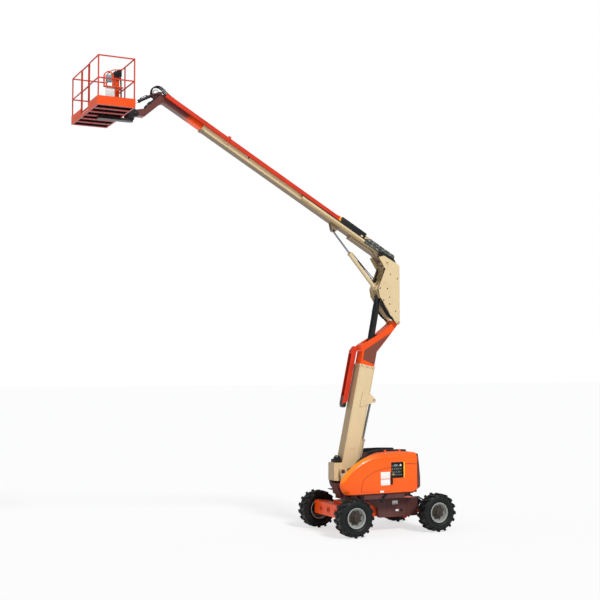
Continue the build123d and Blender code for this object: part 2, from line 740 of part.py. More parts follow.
# ---------------------------------------------------------------- tower boom
tower_rear = tower_front - tower_depth
with BuildPart() as tower_base:
    with BuildSketch(side(0.0, tower_pivot, lean)):
        face(
            (tower_front, -110.0),
            (tower_front, tower_length),
            (tower_rear, tower_length),
            (tower_rear, 290.0),
            (tower_rear + 250, -110.0),
        )
    extrude(amount=tower_width / 2, both=True)
    # boxed foot ahead of the lower pin, open below
    with BuildSketch(side(0.0)):
        face(
            (1100.0, 1350.0),
            (1200.0, 1350.0),
            (1357.0, 1360.0),
            (1357.0, 1805.0),
            (1342.0, 1820.0),
            (1050.0, 1820.0),
            (1000.0, 1700.0),
        )
    extrude(amount=tower_width / 2, both=True)
    with BuildSketch(side(0.0)):
        face((1205.0, 1340.0), (1345.0, 1340.0), (1345.0, 1808.0), (1205.0, 1808.0))
    extrude(amount=tower_width / 2 - 12, both=True, mode=Mode.SUBTRACT)
    with BuildSketch(side(0.0, tower_pivot, lean)):
        rect(tower_rear + tower_wall, 330.0, tower_front - tower_wall, tower_length + 10)
    extrude(amount=tower_width / 2 - tower_wall, both=True, mode=Mode.SUBTRACT)
    # pivot hub through the front corner
    with BuildSketch(side(0.0, tower_pivot, lean)):
        Circle(pivot_pin * 2)
    extrude(amount=channel_half_width - side_gap, both=True)
    with BuildSketch(side(0.0, tower_pivot, lean)):
        Circle(pivot_pin + pin_gap)
    extrude(amount=channel_half_width, both=True, mode=Mode.SUBTRACT)
    # ears for the lift cylinder's rod, outside the tube's walls
    for sign in (1, -1):
        with BuildSketch(side(sign * (tower_width / 2 + 9), tower_pivot, lean)):
            face(
                (lift_eye[0] + 386, lift_eye[1] - 256),
                (lift_eye[0] - 55, lift_eye[1] - 48),
                (lift_eye[0] - 58, lift_eye[1] + 22),
                (tower_rear, lift_eye[1] + 150),
                (tower_rear + 230, lift_eye[1] + 150),
            )
        extrude(amount=9, both=True)
    # mouth collar
    with BuildSketch(across(tower_pivot, tower_angle + 2 * lean, tower_length - 60)):
        with Locations((0, -(tower_front + tower_rear) / 2)):
            Rectangle(tower_width + 16, tower_depth + 16)
            Rectangle(tower_fly_width + 2 * seat, tower_fly_depth + 2 * seat, mode=Mode.SUBTRACT)
    extrude(amount=60)
finish(tower_base.part, "tower_base")

carrier_back = 60.0
elbow = [  # n, s round the head of the tower fly
    (tower_fly_front, 3150.0),
    (tower_fly_front, 3205.0),
    (carrier_back - seat, 3240.0),
    (carrier_back - seat, 3375.0),
    (-430.0, 3800.0),
    (upright_pin[0] + 100, upright_pin[1] - 15),
    (upright_pin[0] + 40, upright_pin[1] + 58),
    (upright_pin[0] - 45, upright_pin[1] + 40),
    (upright_pin[0] - 55, upright_pin[1] - 35),
    (-665.0, 3690.0),
    (tower_fly_rear, 3290.0),
    (tower_fly_rear, 3150.0),
]
elbow_hollow = [  # n, s of the space inside it, open at the top
    (tower_fly_front - 16, 3120.0),
    (tower_fly_front - 16, 3500.0),
    (-300.0, 3800.0),
    (-430.0, 3760.0),
    (-600.0, 3700.0),
    (tower_fly_rear + 16, 3320.0),
    (tower_fly_rear + 16, 3120.0),
]
with BuildPart() as tower_fly:
    with BuildSketch(side(0.0, tower_pivot, lean)):
        rect(tower_fly_rear, tower_fly_tail, tower_fly_front, 3200.0)
        face(*elbow)
    extrude(amount=tower_fly_width / 2, both=True)
    with BuildSketch(side(0.0, tower_pivot, lean)):
        rect(
            tower_fly_rear + tower_wall, tower_fly_tail - 10, tower_fly_front - tower_wall, 3200.0
        )
        face(*elbow_hollow)
    extrude(amount=tower_fly_width / 2 - 14, both=True, mode=Mode.SUBTRACT)
    with BuildSketch(side(0.0, low_pin)):
        Circle(62)
    extrude(amount=upright_half_width - upright_plate - side_gap, both=True)
    with BuildSketch(side(0.0, low_pin)):
        Circle(pivot_pin + pin_gap)
    extrude(amount=upright_half_width, both=True, mode=Mode.SUBTRACT)
    # ears inside the tube for the levelling rods
finish(tower_fly.part, "tower_fly")

carrier_y = -70.0 - carrier_width / 2
carrier_n = (carrier_back, carrier_back + carrier_depth)
carrier_s = (1740.0, 3330.0)
with BuildPart() as hose_carrier:
    with BuildSketch(side(carrier_y, tower_pivot, lean)):
        face(
            (carrier_n[0], carrier_s[0] + 90),
            (carrier_n[1], carrier_s[0]),
            (carrier_n[1], carrier_s[1] - 130),
            (carrier_n[0] + 70, carrier_s[1]),
            (carrier_n[0], carrier_s[1]),
        )
    extrude(amount=carrier_width / 2, both=True)
    with BuildSketch(side(carrier_y, tower_pivot, lean)):
        rect(carrier_n[0] + 12, carrier_s[0] - 20, carrier_n[1] + 20, carrier_s[1] - 220)
    extrude(amount=carrier_width / 2 - 8, both=True, mode=Mode.SUBTRACT)
finish(hose_carrier.part, "hose_carrier")

with BuildPart() as tower_track:
    # bend of the hose track below the carrier, in a plane beside the tower's front
    bend_s = carrier_s[0] - 20
    n_mid = carrier_n[0] + 72 + seat
    with BuildSketch(side(carrier_y, tower_pivot, lean)):
        with Locations((n_mid, bend_s)):
            Circle(60)
            Circle(20, mode=Mode.SUBTRACT)
        rect(n_mid - 70, bend_s, n_mid + 70, bend_s + 80, mode=Mode.SUBTRACT)
        rect(n_mid - 60, bend_s, n_mid - 20, bend_s + 260)
        rect(n_mid + 20, bend_s, n_mid + 60, bend_s + 260)
    extrude(amount=carrier_width / 2 - 14, both=True)
finish(tower_track.part, "tower_track")


# ---------------------------------------------------------------- upright
upright_outline = [  # from the low pin: x, z
    (118.0, 40.0),
    (575.0, 700.0),
    (612.0, 915.0),
    (395.0, 1440.0),
    (600.0, 1750.0),
    (440.0, 1795.0),
    (60.0, 1600.0),
    (-35.0, 1530.0),
    (-35.0, 20.0),
    (0.0, -58.0),
    (60.0, -30.0),
]
with BuildPart() as upright:
    inner_gap = upright_half_width - upright_plate
    for sign in (1, -1):
        with BuildSketch(side(sign * (inner_gap + upright_plate / 2), low_pin)):
            face(*upright_outline)
        extrude(amount=upright_plate / 2, both=True)
        # inner plates for the lift and levelling cylinders
        with BuildSketch(side(sign * 130.0, low_pin)):
            face(
                (level_pin[0] - 60, level_pin[1] - 40),
                (level_pin[0] + 50, level_pin[1] - 50),
                (main_base[0] + 62, main_base[1] - 20),
                (main_base[0] + 50, main_base[1] + 50),
                (430.0, 1150.0),
                (330.0, 1120.0),
                (330.0, 1020.0),
            )
        extrude(amount=7, both=True)
    with BuildSketch(side(0.0, low_pin)):
        with Locations((385.0, 1085.0)):
            Circle(48)
        with Locations((0, 0)):
            Circle(pivot_pin)
        with Locations(main_rise):
            Circle(pivot_pin)
        rect(-35.0, 560.0, -25.0, 1440.0)
    extrude(amount=inner_gap + upright_plate, both=True)
    with BuildSketch(side(0.0, low_pin)):
        with Locations(main_base):
            Circle(28)
    extrude(amount=inner_gap + upright_plate, both=True)
    with BuildSketch(side(0.0, low_pin)):
        with Locations(level_pin):
            Circle(24)
    extrude(amount=137, both=True)
finish(upright.part, "upright")


# ---------------------------------------------------------------- main boom
boom_low = boom_drop
boom_high = boom_drop + boom_depth
boom_mid = (boom_low + boom_high) / 2
fly_low = boom_low + boom_wall + 6
fly_high = fly_low + fly_depth
fly_wall = 6.0
with BuildPart() as boom_base:
    with BuildSketch(across(main_pivot, boom_angle, boom_tail)):
        with Locations((0, boom_mid)):
            Rectangle(boom_width, boom_depth)
            Rectangle(boom_width - 2 * boom_wall, boom_depth - 2 * boom_wall, mode=Mode.SUBTRACT)
    extrude(amount=boom_length - boom_tail)
    with BuildSketch(across(main_pivot, boom_angle, boom_length - 70)):
        with Locations((0, boom_mid)):
            Rectangle(boom_width + 20, boom_depth + 20)
        with Locations((0, (fly_low + fly_high) / 2)):
            Rectangle(fly_width + 2 * seat, fly_depth + 2 * seat, mode=Mode.SUBTRACT)
    extrude(amount=70)
    # root plates and hub
    for sign in (1, -1):
        with BuildSketch(side(sign * (boom_width / 2 + 6), main_pivot, boom_angle)):
            face(
                (-75.0, -60.0),
                (70.0, -75.0),
                (520.0, boom_low),
                (560.0, boom_low + 60),
                (-40.0, boom_high - 60),
                (-110.0, boom_low + 40),
            )
            Circle(88)
        extrude(amount=6, both=True)
    with BuildSketch(side(0.0, main_pivot)):
        Circle(64)
    extrude(amount=upright_half_width - upright_plate - side_gap, both=True)
    with BuildSketch(side(0.0, main_pivot)):
        Circle(pivot_pin + pin_gap)
    extrude(amount=upright_half_width, both=True, mode=Mode.SUBTRACT)
    # ears for the lift rod
    for sign in (1, -1):
        with BuildSketch(side(sign * 56.0, main_pivot, boom_angle)):
            face(
                (main_eye[0] - 110, boom_low + 1),
                (main_eye[0] - 60, main_eye[1] - 20),
                (main_eye[0] + 30, main_eye[1] - 30),
                (main_eye[0] + 190, boom_low + 1),
            )
        extrude(amount=8, both=True)
    # hose box under the root
    with BuildSketch(side(0.0, main_pivot, boom_angle)):
        rect(160.0, boom_low - 62, 1250.0, boom_low + 1)
    extrude(amount=boom_width / 2 - 15, both=True)
    # clamp that guides the push tube
    with BuildSketch(side(boom_width / 2 + 5, main_pivot, boom_angle)):
        rect(5430.0, boom_low + 60, 5500.0, boom_high + 5)
    extrude(amount=6, both=True)
finish(boom_base.part, "boom_base")

push_y = boom_width / 2 + 11 + seat + push_width / 2
push_low = boom_low + 132
with BuildPart() as track_trough:
    with BuildSketch(across(main_pivot, boom_angle, 860.0, push_y)):
        with Locations((0, push_low - 47)):
            Rectangle(push_width + 22, 74)
            with Locations((0, 4)):
                Rectangle(push_width + 14, 74, mode=Mode.SUBTRACT)
    extrude(amount=2140.0)
finish(track_trough.part, "track_trough")

with BuildPart() as hose_track:
    # cable track folded over itself at the boom's root
    with BuildSketch(side(push_y, main_pivot, boom_angle)):
        with BuildLine():
            Polyline((840, push_low - 80), (-60, push_low - 80))
            ThreePointArc((-60, push_low - 80), (-150, push_low + 5), (-60, push_low + 90))
            Polyline((-60, push_low + 90), (700, push_low + 90), (840, push_low + 30), (840, push_low - 80))
        make_face()
    extrude(amount=push_width / 2 - 1.3, both=True)
finish(hose_track.part, "hose_track")

gooseneck = [  # u, v round the boom's nose
    (fly_nose - 40, fly_high),
    (fly_nose + 200, fly_high),
    (fly_nose + 310, fly_high - 120),
    (7660.0, -330.0),
    (7850.0, -502.0),
    (support_pin[0] + 50, support_pin[1] - 62),
    (7570.0, -505.0),
    (fly_nose + 190, fly_low - 70),
    (fly_nose + 120, fly_low),
    (fly_nose - 40, fly_low),
]
with BuildPart() as boom_fly:
    with BuildSketch(across(main_pivot, boom_angle, fly_tail)):
        with Locations((0, (fly_low + fly_high) / 2)):
            Rectangle(fly_width, fly_depth)
            Rectangle(fly_width - 2 * fly_wall, fly_depth - 2 * fly_wall, mode=Mode.SUBTRACT)
    extrude(amount=fly_nose - fly_tail)
    with BuildSketch(side(0.0, main_pivot, boom_angle)):
        face(*gooseneck)
    extrude(amount=fly_width / 2, both=True)
    # end eye and the ears of the platform levelling cylinder
    with BuildSketch(side(0.0, support_pivot)):
        Circle(72)
    extrude(amount=fly_width / 2, both=True)
    with BuildSketch(side(0.0, support_pivot)):
        Circle(30 + pin_gap)
    extrude(amount=fly_width, both=True, mode=Mode.SUBTRACT)
    for sign in (1, -1):
        with BuildSketch(side(sign * 54.0, main_pivot, boom_angle)):
            face(
                (fly_nose + 200, fly_high - 90),
                (fly_nose + 300, fly_high - 20),
                (slave_base[0] + 20, slave_base[1] + 42),
                (slave_base[0] + 38, slave_base[1] - 24),
                (fly_nose + 330, fly_high - 240),
            )
        extrude(amount=8, both=True)
    with BuildSketch(side(0.0, slave_base_pin)):
        Circle(15)
    extrude(amount=62, both=True)
finish(boom_fly.part, "boom_fly")

with BuildPart() as push_tube:
    with BuildSketch(across(main_pivot, boom_angle, push_tail, push_y)):
        with Locations((0, push_low + push_depth / 2)):
            Rectangle(push_width, push_depth)
            Rectangle(push_width - 8, push_depth - 8, mode=Mode.SUBTRACT)
    extrude(amount=fly_nose + 190 - push_tail)
    # foot on the side of the nose
    with BuildSketch(side((fly_width / 2 + push_y - push_width / 2) / 2, main_pivot, boom_angle)):
        rect(fly_nose, push_low + 8, fly_nose + 150, push_low + push_depth - 12)
    extrude(amount=(push_y - push_width / 2 - fly_width / 2) / 2, both=True)
finish(push_tube.part, "push_tube")


# ---------------------------------------------------------------- platform
cheek_y = fly_width / 2 + side_gap
with BuildPart() as platform_support:
    # cheeks beside the boom's end, joined over it by a block that carries the lever's ears
    for sign in (1, -1):
        with BuildSketch(side(sign * (cheek_y + 7), support_pivot)):
            Circle(75)
            face((-20, -72), (rotator_reach, -72), (rotator_reach, 60), (100, 165), (45, 165), (-20, 72))
        extrude(amount=7, both=True)
        with BuildSketch(side(sign * 40.0, support_pivot)):
            face((45, 125), (100, 125), (slave_lever[0] + 28, slave_lever[1] + 6), (60, 282), (36, 262))
        extrude(amount=6, both=True)
    with BuildSketch(side(0.0, support_pivot)):
        rect(45, 125, 100, 165)
    extrude(amount=cheek_y + 14, both=True)
    with BuildSketch(side(0.0, support_pivot)):
        Circle(30)
    extrude(amount=cheek_y + 22, both=True)
    # housing of the platform's rotator, cut back round the boom's end
    with BuildSketch(Plane.XY.offset(floor_bottom + seat)):
        with Locations((rotator_x, 0)):
            Circle(cheek_y + 14)
    extrude(amount=195)
    with BuildSketch(side(0.0, support_pivot)):
        Circle(106)
    extrude(amount=cheek_y, both=True, mode=Mode.SUBTRACT)
    with BuildSketch(side(0.0, support_pivot)):
        Circle(30)
    extrude(amount=cheek_y + 22, both=True)
finish(platform_support.part, "platform_support")

half_x = platform_length / 2
half_y = platform_width / 2
with BuildPart() as platform_floor:
    with BuildSketch(Plane.XY.offset(floor_bottom)):
        with Locations((platform_x, 0)):
            Rectangle(platform_length, platform_width)
    extrude(amount=floor_frame)
    with BuildSketch(Plane.XY.offset(floor_bottom)):
        for index in range(6):
            bay = (platform_width - 7 * 40) / 6
            with Locations((platform_x, -half_y + 40 + bay / 2 + index * (bay + 40))):
                Rectangle(platform_length - 80, bay)
    extrude(amount=floor_frame - 6, mode=Mode.SUBTRACT)
    # toe boards
    with BuildSketch(Plane.XY.offset(floor_top)):
        with Locations((platform_x, 0)):
            Rectangle(platform_length, platform_width)
            Rectangle(platform_length - 8, platform_width - 8, mode=Mode.SUBTRACT)
        gate_x = platform_x + half_x
        rect(
            gate_x - 20,
            gate_centre - gate_width / 2 - 6,
            gate_x + 20,
            gate_centre + gate_width / 2 + 14,
            Mode.SUBTRACT,
        )
    extrude(amount=toe_height)
    # bracket under the floor that turns on the rotator
    with BuildSketch(Plane.XY.offset(floor_bottom - 62)):
        with Locations((rotator_x, 0)):
            Circle(100)
        rect(rotator_x, -100, platform_x + 120, 100)
    extrude(amount=62)
finish(platform_floor.part, "platform_floor")

post_x = half_x - rail_radius - 6
post_y = half_y - rail_radius - 6
corners = [(post_x, post_y), (-post_x, post_y), (-post_x, -post_y), (post_x, -post_y)]
gate_low = gate_centre - gate_width / 2
gate_high = gate_centre + gate_width / 2
gate_post_gap = 40.0
gate_pin = 7.0
gate_eye = 14.0
gate_hinges = (floor_top + 130, rail_top - 150)
post_places = corners + [
    (post_x, gate_high + gate_post_gap),
    (post_x, gate_low - gate_post_gap),
    (-post_x, 420.0),
    (-post_x, -420.0),
]


def rail_bar(start, end, radius=rail_radius):
    """Round bar from one point to another."""
    a, b = Vector(*start), Vector(*end)
    with Locations(Plane(origin=a, z_dir=b - a).location):
        Cylinder(radius, (b - a).length, align=(Align.CENTER, Align.CENTER, Align.MIN))


with BuildPart() as platform_rails:
    for x, y in post_places:
        rail_bar((platform_x + x, y, floor_top), (platform_x + x, y, rail_top))
    for z in (rail_top, floor_top + platform_height * 0.52):
        ring = [
            ((post_x, gate_high + gate_post_gap), (post_x, post_y)),
            ((post_x, post_y), (-post_x, post_y)),
            ((-post_x, post_y), (-post_x, -post_y)),
            ((-post_x, -post_y), (post_x, -post_y)),
            ((post_x, -post_y), (post_x, gate_low - gate_post_gap)),
        ]
        for (x1, y1), (x2, y2) in ring:
            rail_bar((platform_x + x1, y1, z), (platform_x + x2, y2, z))
    with Locations(*[(platform_x + x, y, rail_top) for x, y in corners]):
        Sphere(rail_radius)
    for hinge_low in gate_hinges:
        with BuildSketch(Plane.XY.offset(hinge_low - 10)):
            rect(platform_x + post_x - 9, gate_high, platform_x + post_x + 9, gate_high + gate_post_gap)
            with Locations((platform_x + post_x, gate_high)):
                Circle(9)
        extrude(amount=10)
        with BuildSketch(Plane.XY.offset(hinge_low)):
            with Locations((platform_x + post_x, gate_high)):
                Circle(gate_pin)
        extrude(amount=44)
finish(platform_rails.part, "platform_rails")

gate_bar = 26.0
with BuildPart() as platform_gate:
    gate_post = platform_x + post_x
    low_y, high_y = gate_low + 12, gate_high - 15
    gate_foot, gate_mid = floor_top + 40, floor_top + platform_height * 0.52
    with BuildSketch(Plane.YZ.offset(gate_post - gate_bar / 2)):
        rect(low_y, gate_foot, high_y, rail_top)
        rect(low_y + gate_bar, gate_foot + gate_bar, high_y - gate_bar, gate_mid - gate_bar, Mode.SUBTRACT)
        rect(low_y + gate_bar, gate_mid, high_y - gate_bar, rail_top - gate_bar, Mode.SUBTRACT)
    extrude(amount=gate_bar)
    for hinge_low in gate_hinges:
        with BuildSketch(Plane.XY.offset(hinge_low + seat)):
            with Locations((gate_post, gate_high)):
                Circle(gate_eye)
            rect(gate_post - 9, gate_high - 20, gate_post + 9, gate_high)
        extrude(amount=40)
        with BuildSketch(Plane.XY.offset(hinge_low)):
            with Locations((gate_post, gate_high)):
                Circle(gate_pin + pin_gap)
        extrude(amount=50, mode=Mode.SUBTRACT)
finish(platform_gate.part, "platform_gate")

with BuildPart() as control_console:
    stand_x = platform_x - half_x + 110
    with BuildSketch(Plane.XY.offset(floor_top)):
        with Locations((stand_x, 0)):
            Rectangle(150, 220)
    extrude(amount=14)
    with BuildSketch(Plane.XY.offset(floor_top + 14)):
        with Locations((stand_x, 0)):
            Rectangle(90, 170)
    extrude(amount=platform_height - 190)
    with BuildSketch(side(0.0, (stand_x, rail_top - 180))):
        face((-70, 0), (110, 0), (130, 90), (-70, 190))
    extrude(amount=190, both=True)
finish(control_console.part, "control_console")
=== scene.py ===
"""Looks of an articulating boom lift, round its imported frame. Metres; +X towards the platform, +Z up."""
import json
import math

import bmesh
import bpy
from mathutils import Matrix, Vector


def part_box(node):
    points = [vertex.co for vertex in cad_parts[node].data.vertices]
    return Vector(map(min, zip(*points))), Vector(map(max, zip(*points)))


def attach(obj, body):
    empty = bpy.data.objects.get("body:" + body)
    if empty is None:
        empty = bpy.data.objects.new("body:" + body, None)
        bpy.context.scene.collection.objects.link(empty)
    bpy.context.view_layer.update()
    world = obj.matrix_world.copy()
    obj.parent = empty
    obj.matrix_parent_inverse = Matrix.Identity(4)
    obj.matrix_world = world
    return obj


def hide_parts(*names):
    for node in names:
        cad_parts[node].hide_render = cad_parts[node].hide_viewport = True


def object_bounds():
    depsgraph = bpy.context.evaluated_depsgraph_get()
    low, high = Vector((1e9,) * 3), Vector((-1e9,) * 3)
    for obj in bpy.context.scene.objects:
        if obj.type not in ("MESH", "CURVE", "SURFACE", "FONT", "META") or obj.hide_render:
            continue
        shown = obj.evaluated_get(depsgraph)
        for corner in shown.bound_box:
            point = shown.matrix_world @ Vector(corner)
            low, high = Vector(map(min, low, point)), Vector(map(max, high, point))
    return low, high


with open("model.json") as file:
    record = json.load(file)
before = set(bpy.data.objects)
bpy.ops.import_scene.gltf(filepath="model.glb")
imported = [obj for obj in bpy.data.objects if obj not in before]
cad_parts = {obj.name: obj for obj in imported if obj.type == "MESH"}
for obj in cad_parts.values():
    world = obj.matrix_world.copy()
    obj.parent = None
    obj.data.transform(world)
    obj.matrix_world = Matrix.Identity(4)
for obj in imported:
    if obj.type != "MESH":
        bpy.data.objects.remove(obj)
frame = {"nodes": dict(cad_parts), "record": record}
cad_low, cad_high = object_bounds()
nodes = frame["nodes"]
bpy.context.scene.view_settings.view_transform = "Standard"

BOTH = (1, -1)                              # the machine's left and right
AXLE_X, HUB_Y, HUB_Z = 1.24, 1.03, 0.5      # centres of the wheels
TOWER_PIN, TOWER_LEAN = (1.15, 0, 1.6), 12.0
BOOM_ROOT, BOOM_RISE = (-0.235, 0, 7.142), 29.95    # the root, for masks, to the nearest millimetre
FLOOR = 10.46                               # top of the platform's floor


# ---------------------------------------------------------------- camera, light and backdrop
def add(tree, kind, values=(), **settings):
    """New shader node: its settings, and for each named input a constant or the output that feeds it."""
    node = tree.nodes.new("ShaderNode" + kind)
    for name, value in settings.items():
        setattr(node, name, value)
    for key, value in dict(values).items():
        if isinstance(value, bpy.types.NodeSocket):
            tree.links.new(value, node.inputs[key])
        else:
            node.inputs[key].default_value = value
    return node


def split_rays(tree, output, seen, lit):
    """Shows one shader to the camera and another to every other ray."""
    path = add(tree, "LightPath")
    mix = add(tree, "MixShader", {0: path.outputs["Is Camera Ray"], 1: lit.outputs[0], 2: seen.outputs[0]})
    add(tree, output, {0: mix.outputs[0]})


def place(name, data, ahead):
    """Puts a camera or lamp into the scene, looking along a direction."""
    obj = bpy.data.objects.new(name, data)
    bpy.context.collection.objects.link(obj)
    obj.rotation_mode = "QUATERNION"
    obj.rotation_quaternion = Vector(ahead).to_track_quat("-Z", "Y")
    return obj


def make_camera():
    data = bpy.data.cameras.new("camera")
    data.lens, data.sensor_width, data.clip_end = 64.83, 36.0, 400.0
    yaw, pitch = -2.023, 0.059
    level = math.cos(pitch)
    camera = place("camera", data, (level * math.cos(yaw), level * math.sin(yaw), math.sin(pitch)))
    camera.location = (14.606, 25.402, 4.411)
    bpy.context.scene.camera = camera


def make_light():
    for name, towards, strength, angle in (("key", (0.1, -0.72, -0.72), 2.35, 14),
                                           ("fill", (-0.9, 0.15, -0.25), 0.55, 60)):
        data = bpy.data.lights.new(name, "SUN")
        data.energy, data.angle = strength, math.radians(angle)
        place(name, data, towards)
    world = bpy.data.worlds.new("studio")
    bpy.context.scene.world = world
    world.use_nodes = True
    tree = world.node_tree
    tree.nodes.clear()
    seen = add(tree, "Background", {"Strength": 1.0, "Color": (1, 1, 1, 1)})
    lit = add(tree, "Background", {"Strength": 0.42, "Color": (0.97, 0.98, 1.0, 1)})
    split_rays(tree, "OutputWorld", seen, lit)


def make_floor():
    half, z = 180.0, cad_low.z - 0.001
    mesh = bpy.data.meshes.new("floor")
    mesh.from_pydata([(-half, -half, z), (half, -half, z), (half, half, z), (-half, half, z)], [],
                     [(0, 1, 2, 3)])
    floor = bpy.data.objects.new("floor", mesh)
    bpy.context.collection.objects.link(floor)
    finish = bpy.data.materials.new("floor_white")
    finish.use_nodes = True
    tree = finish.node_tree
    tree.nodes.clear()
    matt = add(tree, "BsdfDiffuse", {"Color": (0.94, 0.94, 0.94, 1)})
    glow = add(tree, "Emission", {"Strength": 1.0})
    pale = add(tree, "MixShader", {0: 0.66, 1: matt.outputs[0], 2: glow.outputs[0]})
    split_rays(tree, "OutputMaterial", pale, matt)
    mesh.materials.append(finish)


make_camera()
make_light()
make_floor()


# ---------------------------------------------------------------- materials
class Shade:
    """Node tree of one material: a base tone that drifts, masks that lay other tones over it, and a grain."""

    def __init__(self, name, colour, rough, metal=0.0, shift=0.12, scale=3.0, coat=0.0, shine=0.3):
        self.mat = bpy.data.materials.new(name)
        self.mat.use_nodes = True
        self.tree = self.mat.node_tree
        self.shader = self.tree.nodes["Principled BSDF"]
        self.shader.inputs["Metallic"].default_value = metal
        self.shader.inputs["Coat Weight"].default_value = coat
        self.shader.inputs["Coat Roughness"].default_value = 0.12
        self.shader.inputs["Specular IOR Level"].default_value = shine
        self.place = self.add("TexCoord").outputs["Object"]
        self.normal = self.add("NewGeometry").outputs["Normal"]
        drift = self.noise(scale, 5.0)
        self.colour = self.ramp(drift, 0.3, 0.7, [c * (1 - shift) for c in colour],
                                [min(1.0, c * (1 + shift * 0.6)) for c in colour])
        worn = self.add("MapRange", {"Value": drift, "To Min": max(0.02, rough - 0.08),
                                     "To Max": min(1.0, rough + 0.1)})
        self.tree.links.new(worn.outputs["Result"], self.shader.inputs["Roughness"])

    def add(self, kind, values=(), **settings):
        return add(self.tree, kind, values, **settings)

    def noise(self, scale, detail=3.0, rough=0.5, stretch=None):
        source = self.place
        if stretch:
            source = self.add("Mapping", {"Scale": stretch, "Vector": source}).outputs["Vector"]
        values = {"Scale": scale, "Detail": detail, "Roughness": rough, "Vector": source}
        return self.add("TexNoise", values).outputs["Fac"]

    def ramp(self, value, low, high, a, b):
        node = self.add("ValToRGB", {"Fac": value})
        for stop, position, tone in zip(node.color_ramp.elements, (low, high), (a, b)):
            stop.position, stop.color = position, (*tone, 1)
        return node.outputs["Color"]

    def spots(self, noise, low, high, amount):
        return self.ramp(noise, low, high, (0, 0, 0), (amount,) * 3)

    def math(self, kind, *values):
        return self.add("Math", dict(enumerate(values)), operation=kind).outputs[0]

    def along(self, direction, origin=(0, 0, 0), source=None):
        """Distance of the shaded point from an origin, along a direction."""
        node = self.add("VectorMath", {0: source or self.place, 1: direction}, operation="DOT_PRODUCT")
        return self.math("SUBTRACT", node.outputs["Value"], float(Vector(direction).dot(Vector(origin))))

    def above(self, value, edge, soft=0.01):
        """0 below an edge and 1 above it, with a soft change of the given width."""
        ends = {"From Min": edge - soft / 2, "From Max": edge + soft / 2, "Value": value}
        return self.add("MapRange", ends, interpolation_type="SMOOTHSTEP").outputs["Result"]

    def below(self, value, edge, soft=0.01):
        return self.math("SUBTRACT", 1.0, self.above(value, edge, soft))

    def band(self, value, low, high, soft=0.01):
        return self.math("MULTIPLY", self.above(value, low, soft), self.below(value, high, soft))

    def facing(self, direction, edge, soft):
        """1 where the surface faces a direction."""
        return self.above(self.along(direction, source=self.normal), edge, soft)

    def both(self, *masks):
        out = masks[0]
        for mask in masks[1:]:
            out = self.math("MULTIPLY", out, mask)
        return out

    def from_axle(self):
        """Distance of the shaded point from the axle of its wheel, seen from the side."""
        parts = self.add("SeparateXYZ", {0: self.place})
        dx = self.math("SUBTRACT", self.math("ABSOLUTE", parts.outputs["X"]), AXLE_X)
        dz = self.math("SUBTRACT", parts.outputs["Z"], HUB_Z)
        return self.math("SQRT", self.math("ADD", self.math("MULTIPLY", dx, dx), self.math("MULTIPLY", dz, dz)))

    def lay(self, mask, colour, amount=1.0):
        """Lays a tone over what is there, by an amount where the mask is 1."""
        if amount < 1.0:
            mask = self.math("MULTIPLY", mask, amount)
        values = {"Factor": mask, "A": self.colour, "B": (*colour, 1)}
        self.colour = self.add("Mix", values, data_type="RGBA").outputs["Result"]

    def dust(self, amount, colour=(0.1, 0.085, 0.07), scale=18.0):
        self.lay(self.spots(self.noise(scale, 8.0, 0.7), 0.56, 0.78, amount), colour)

    def streaks(self, amount, colour, scale=9.0):
        """Faint marks that run down the surface."""
        self.lay(self.spots(self.noise(scale, 6.0, 0.6, (1.0, 1.0, 0.12)), 0.58, 0.8, amount), colour)

    def done(self, grain, scale):
        """Gives the surface its grain and closes the tree."""
        bump = self.add("Bump", {"Strength": grain, "Distance": 0.002, "Height": self.noise(scale, 3.0)})
        self.tree.links.new(bump.outputs["Normal"], self.shader.inputs["Normal"])
        self.tree.links.new(self.colour, self.shader.inputs["Base Color"])
        return self.mat


ORANGE = (0.93, 0.112, 0.0)
STEEL_ORANGE = (0.86, 0.074, 0.0)
RED = (0.62, 0.034, 0.008)
CREAM = (0.68, 0.53, 0.305)
# dark maroon-brown: a dark paint, and in part painted shade, orange paint as it looks in shade
MAROON = (0.105, 0.038, 0.034)
ORANGE_DUST = (0.35, 0.08, 0.03)
CREAM_DUST = (0.42, 0.32, 0.2)
AHEAD, UP, DOWN = (1, 0, 0), (0, 0, 1), (0, 0, -1)


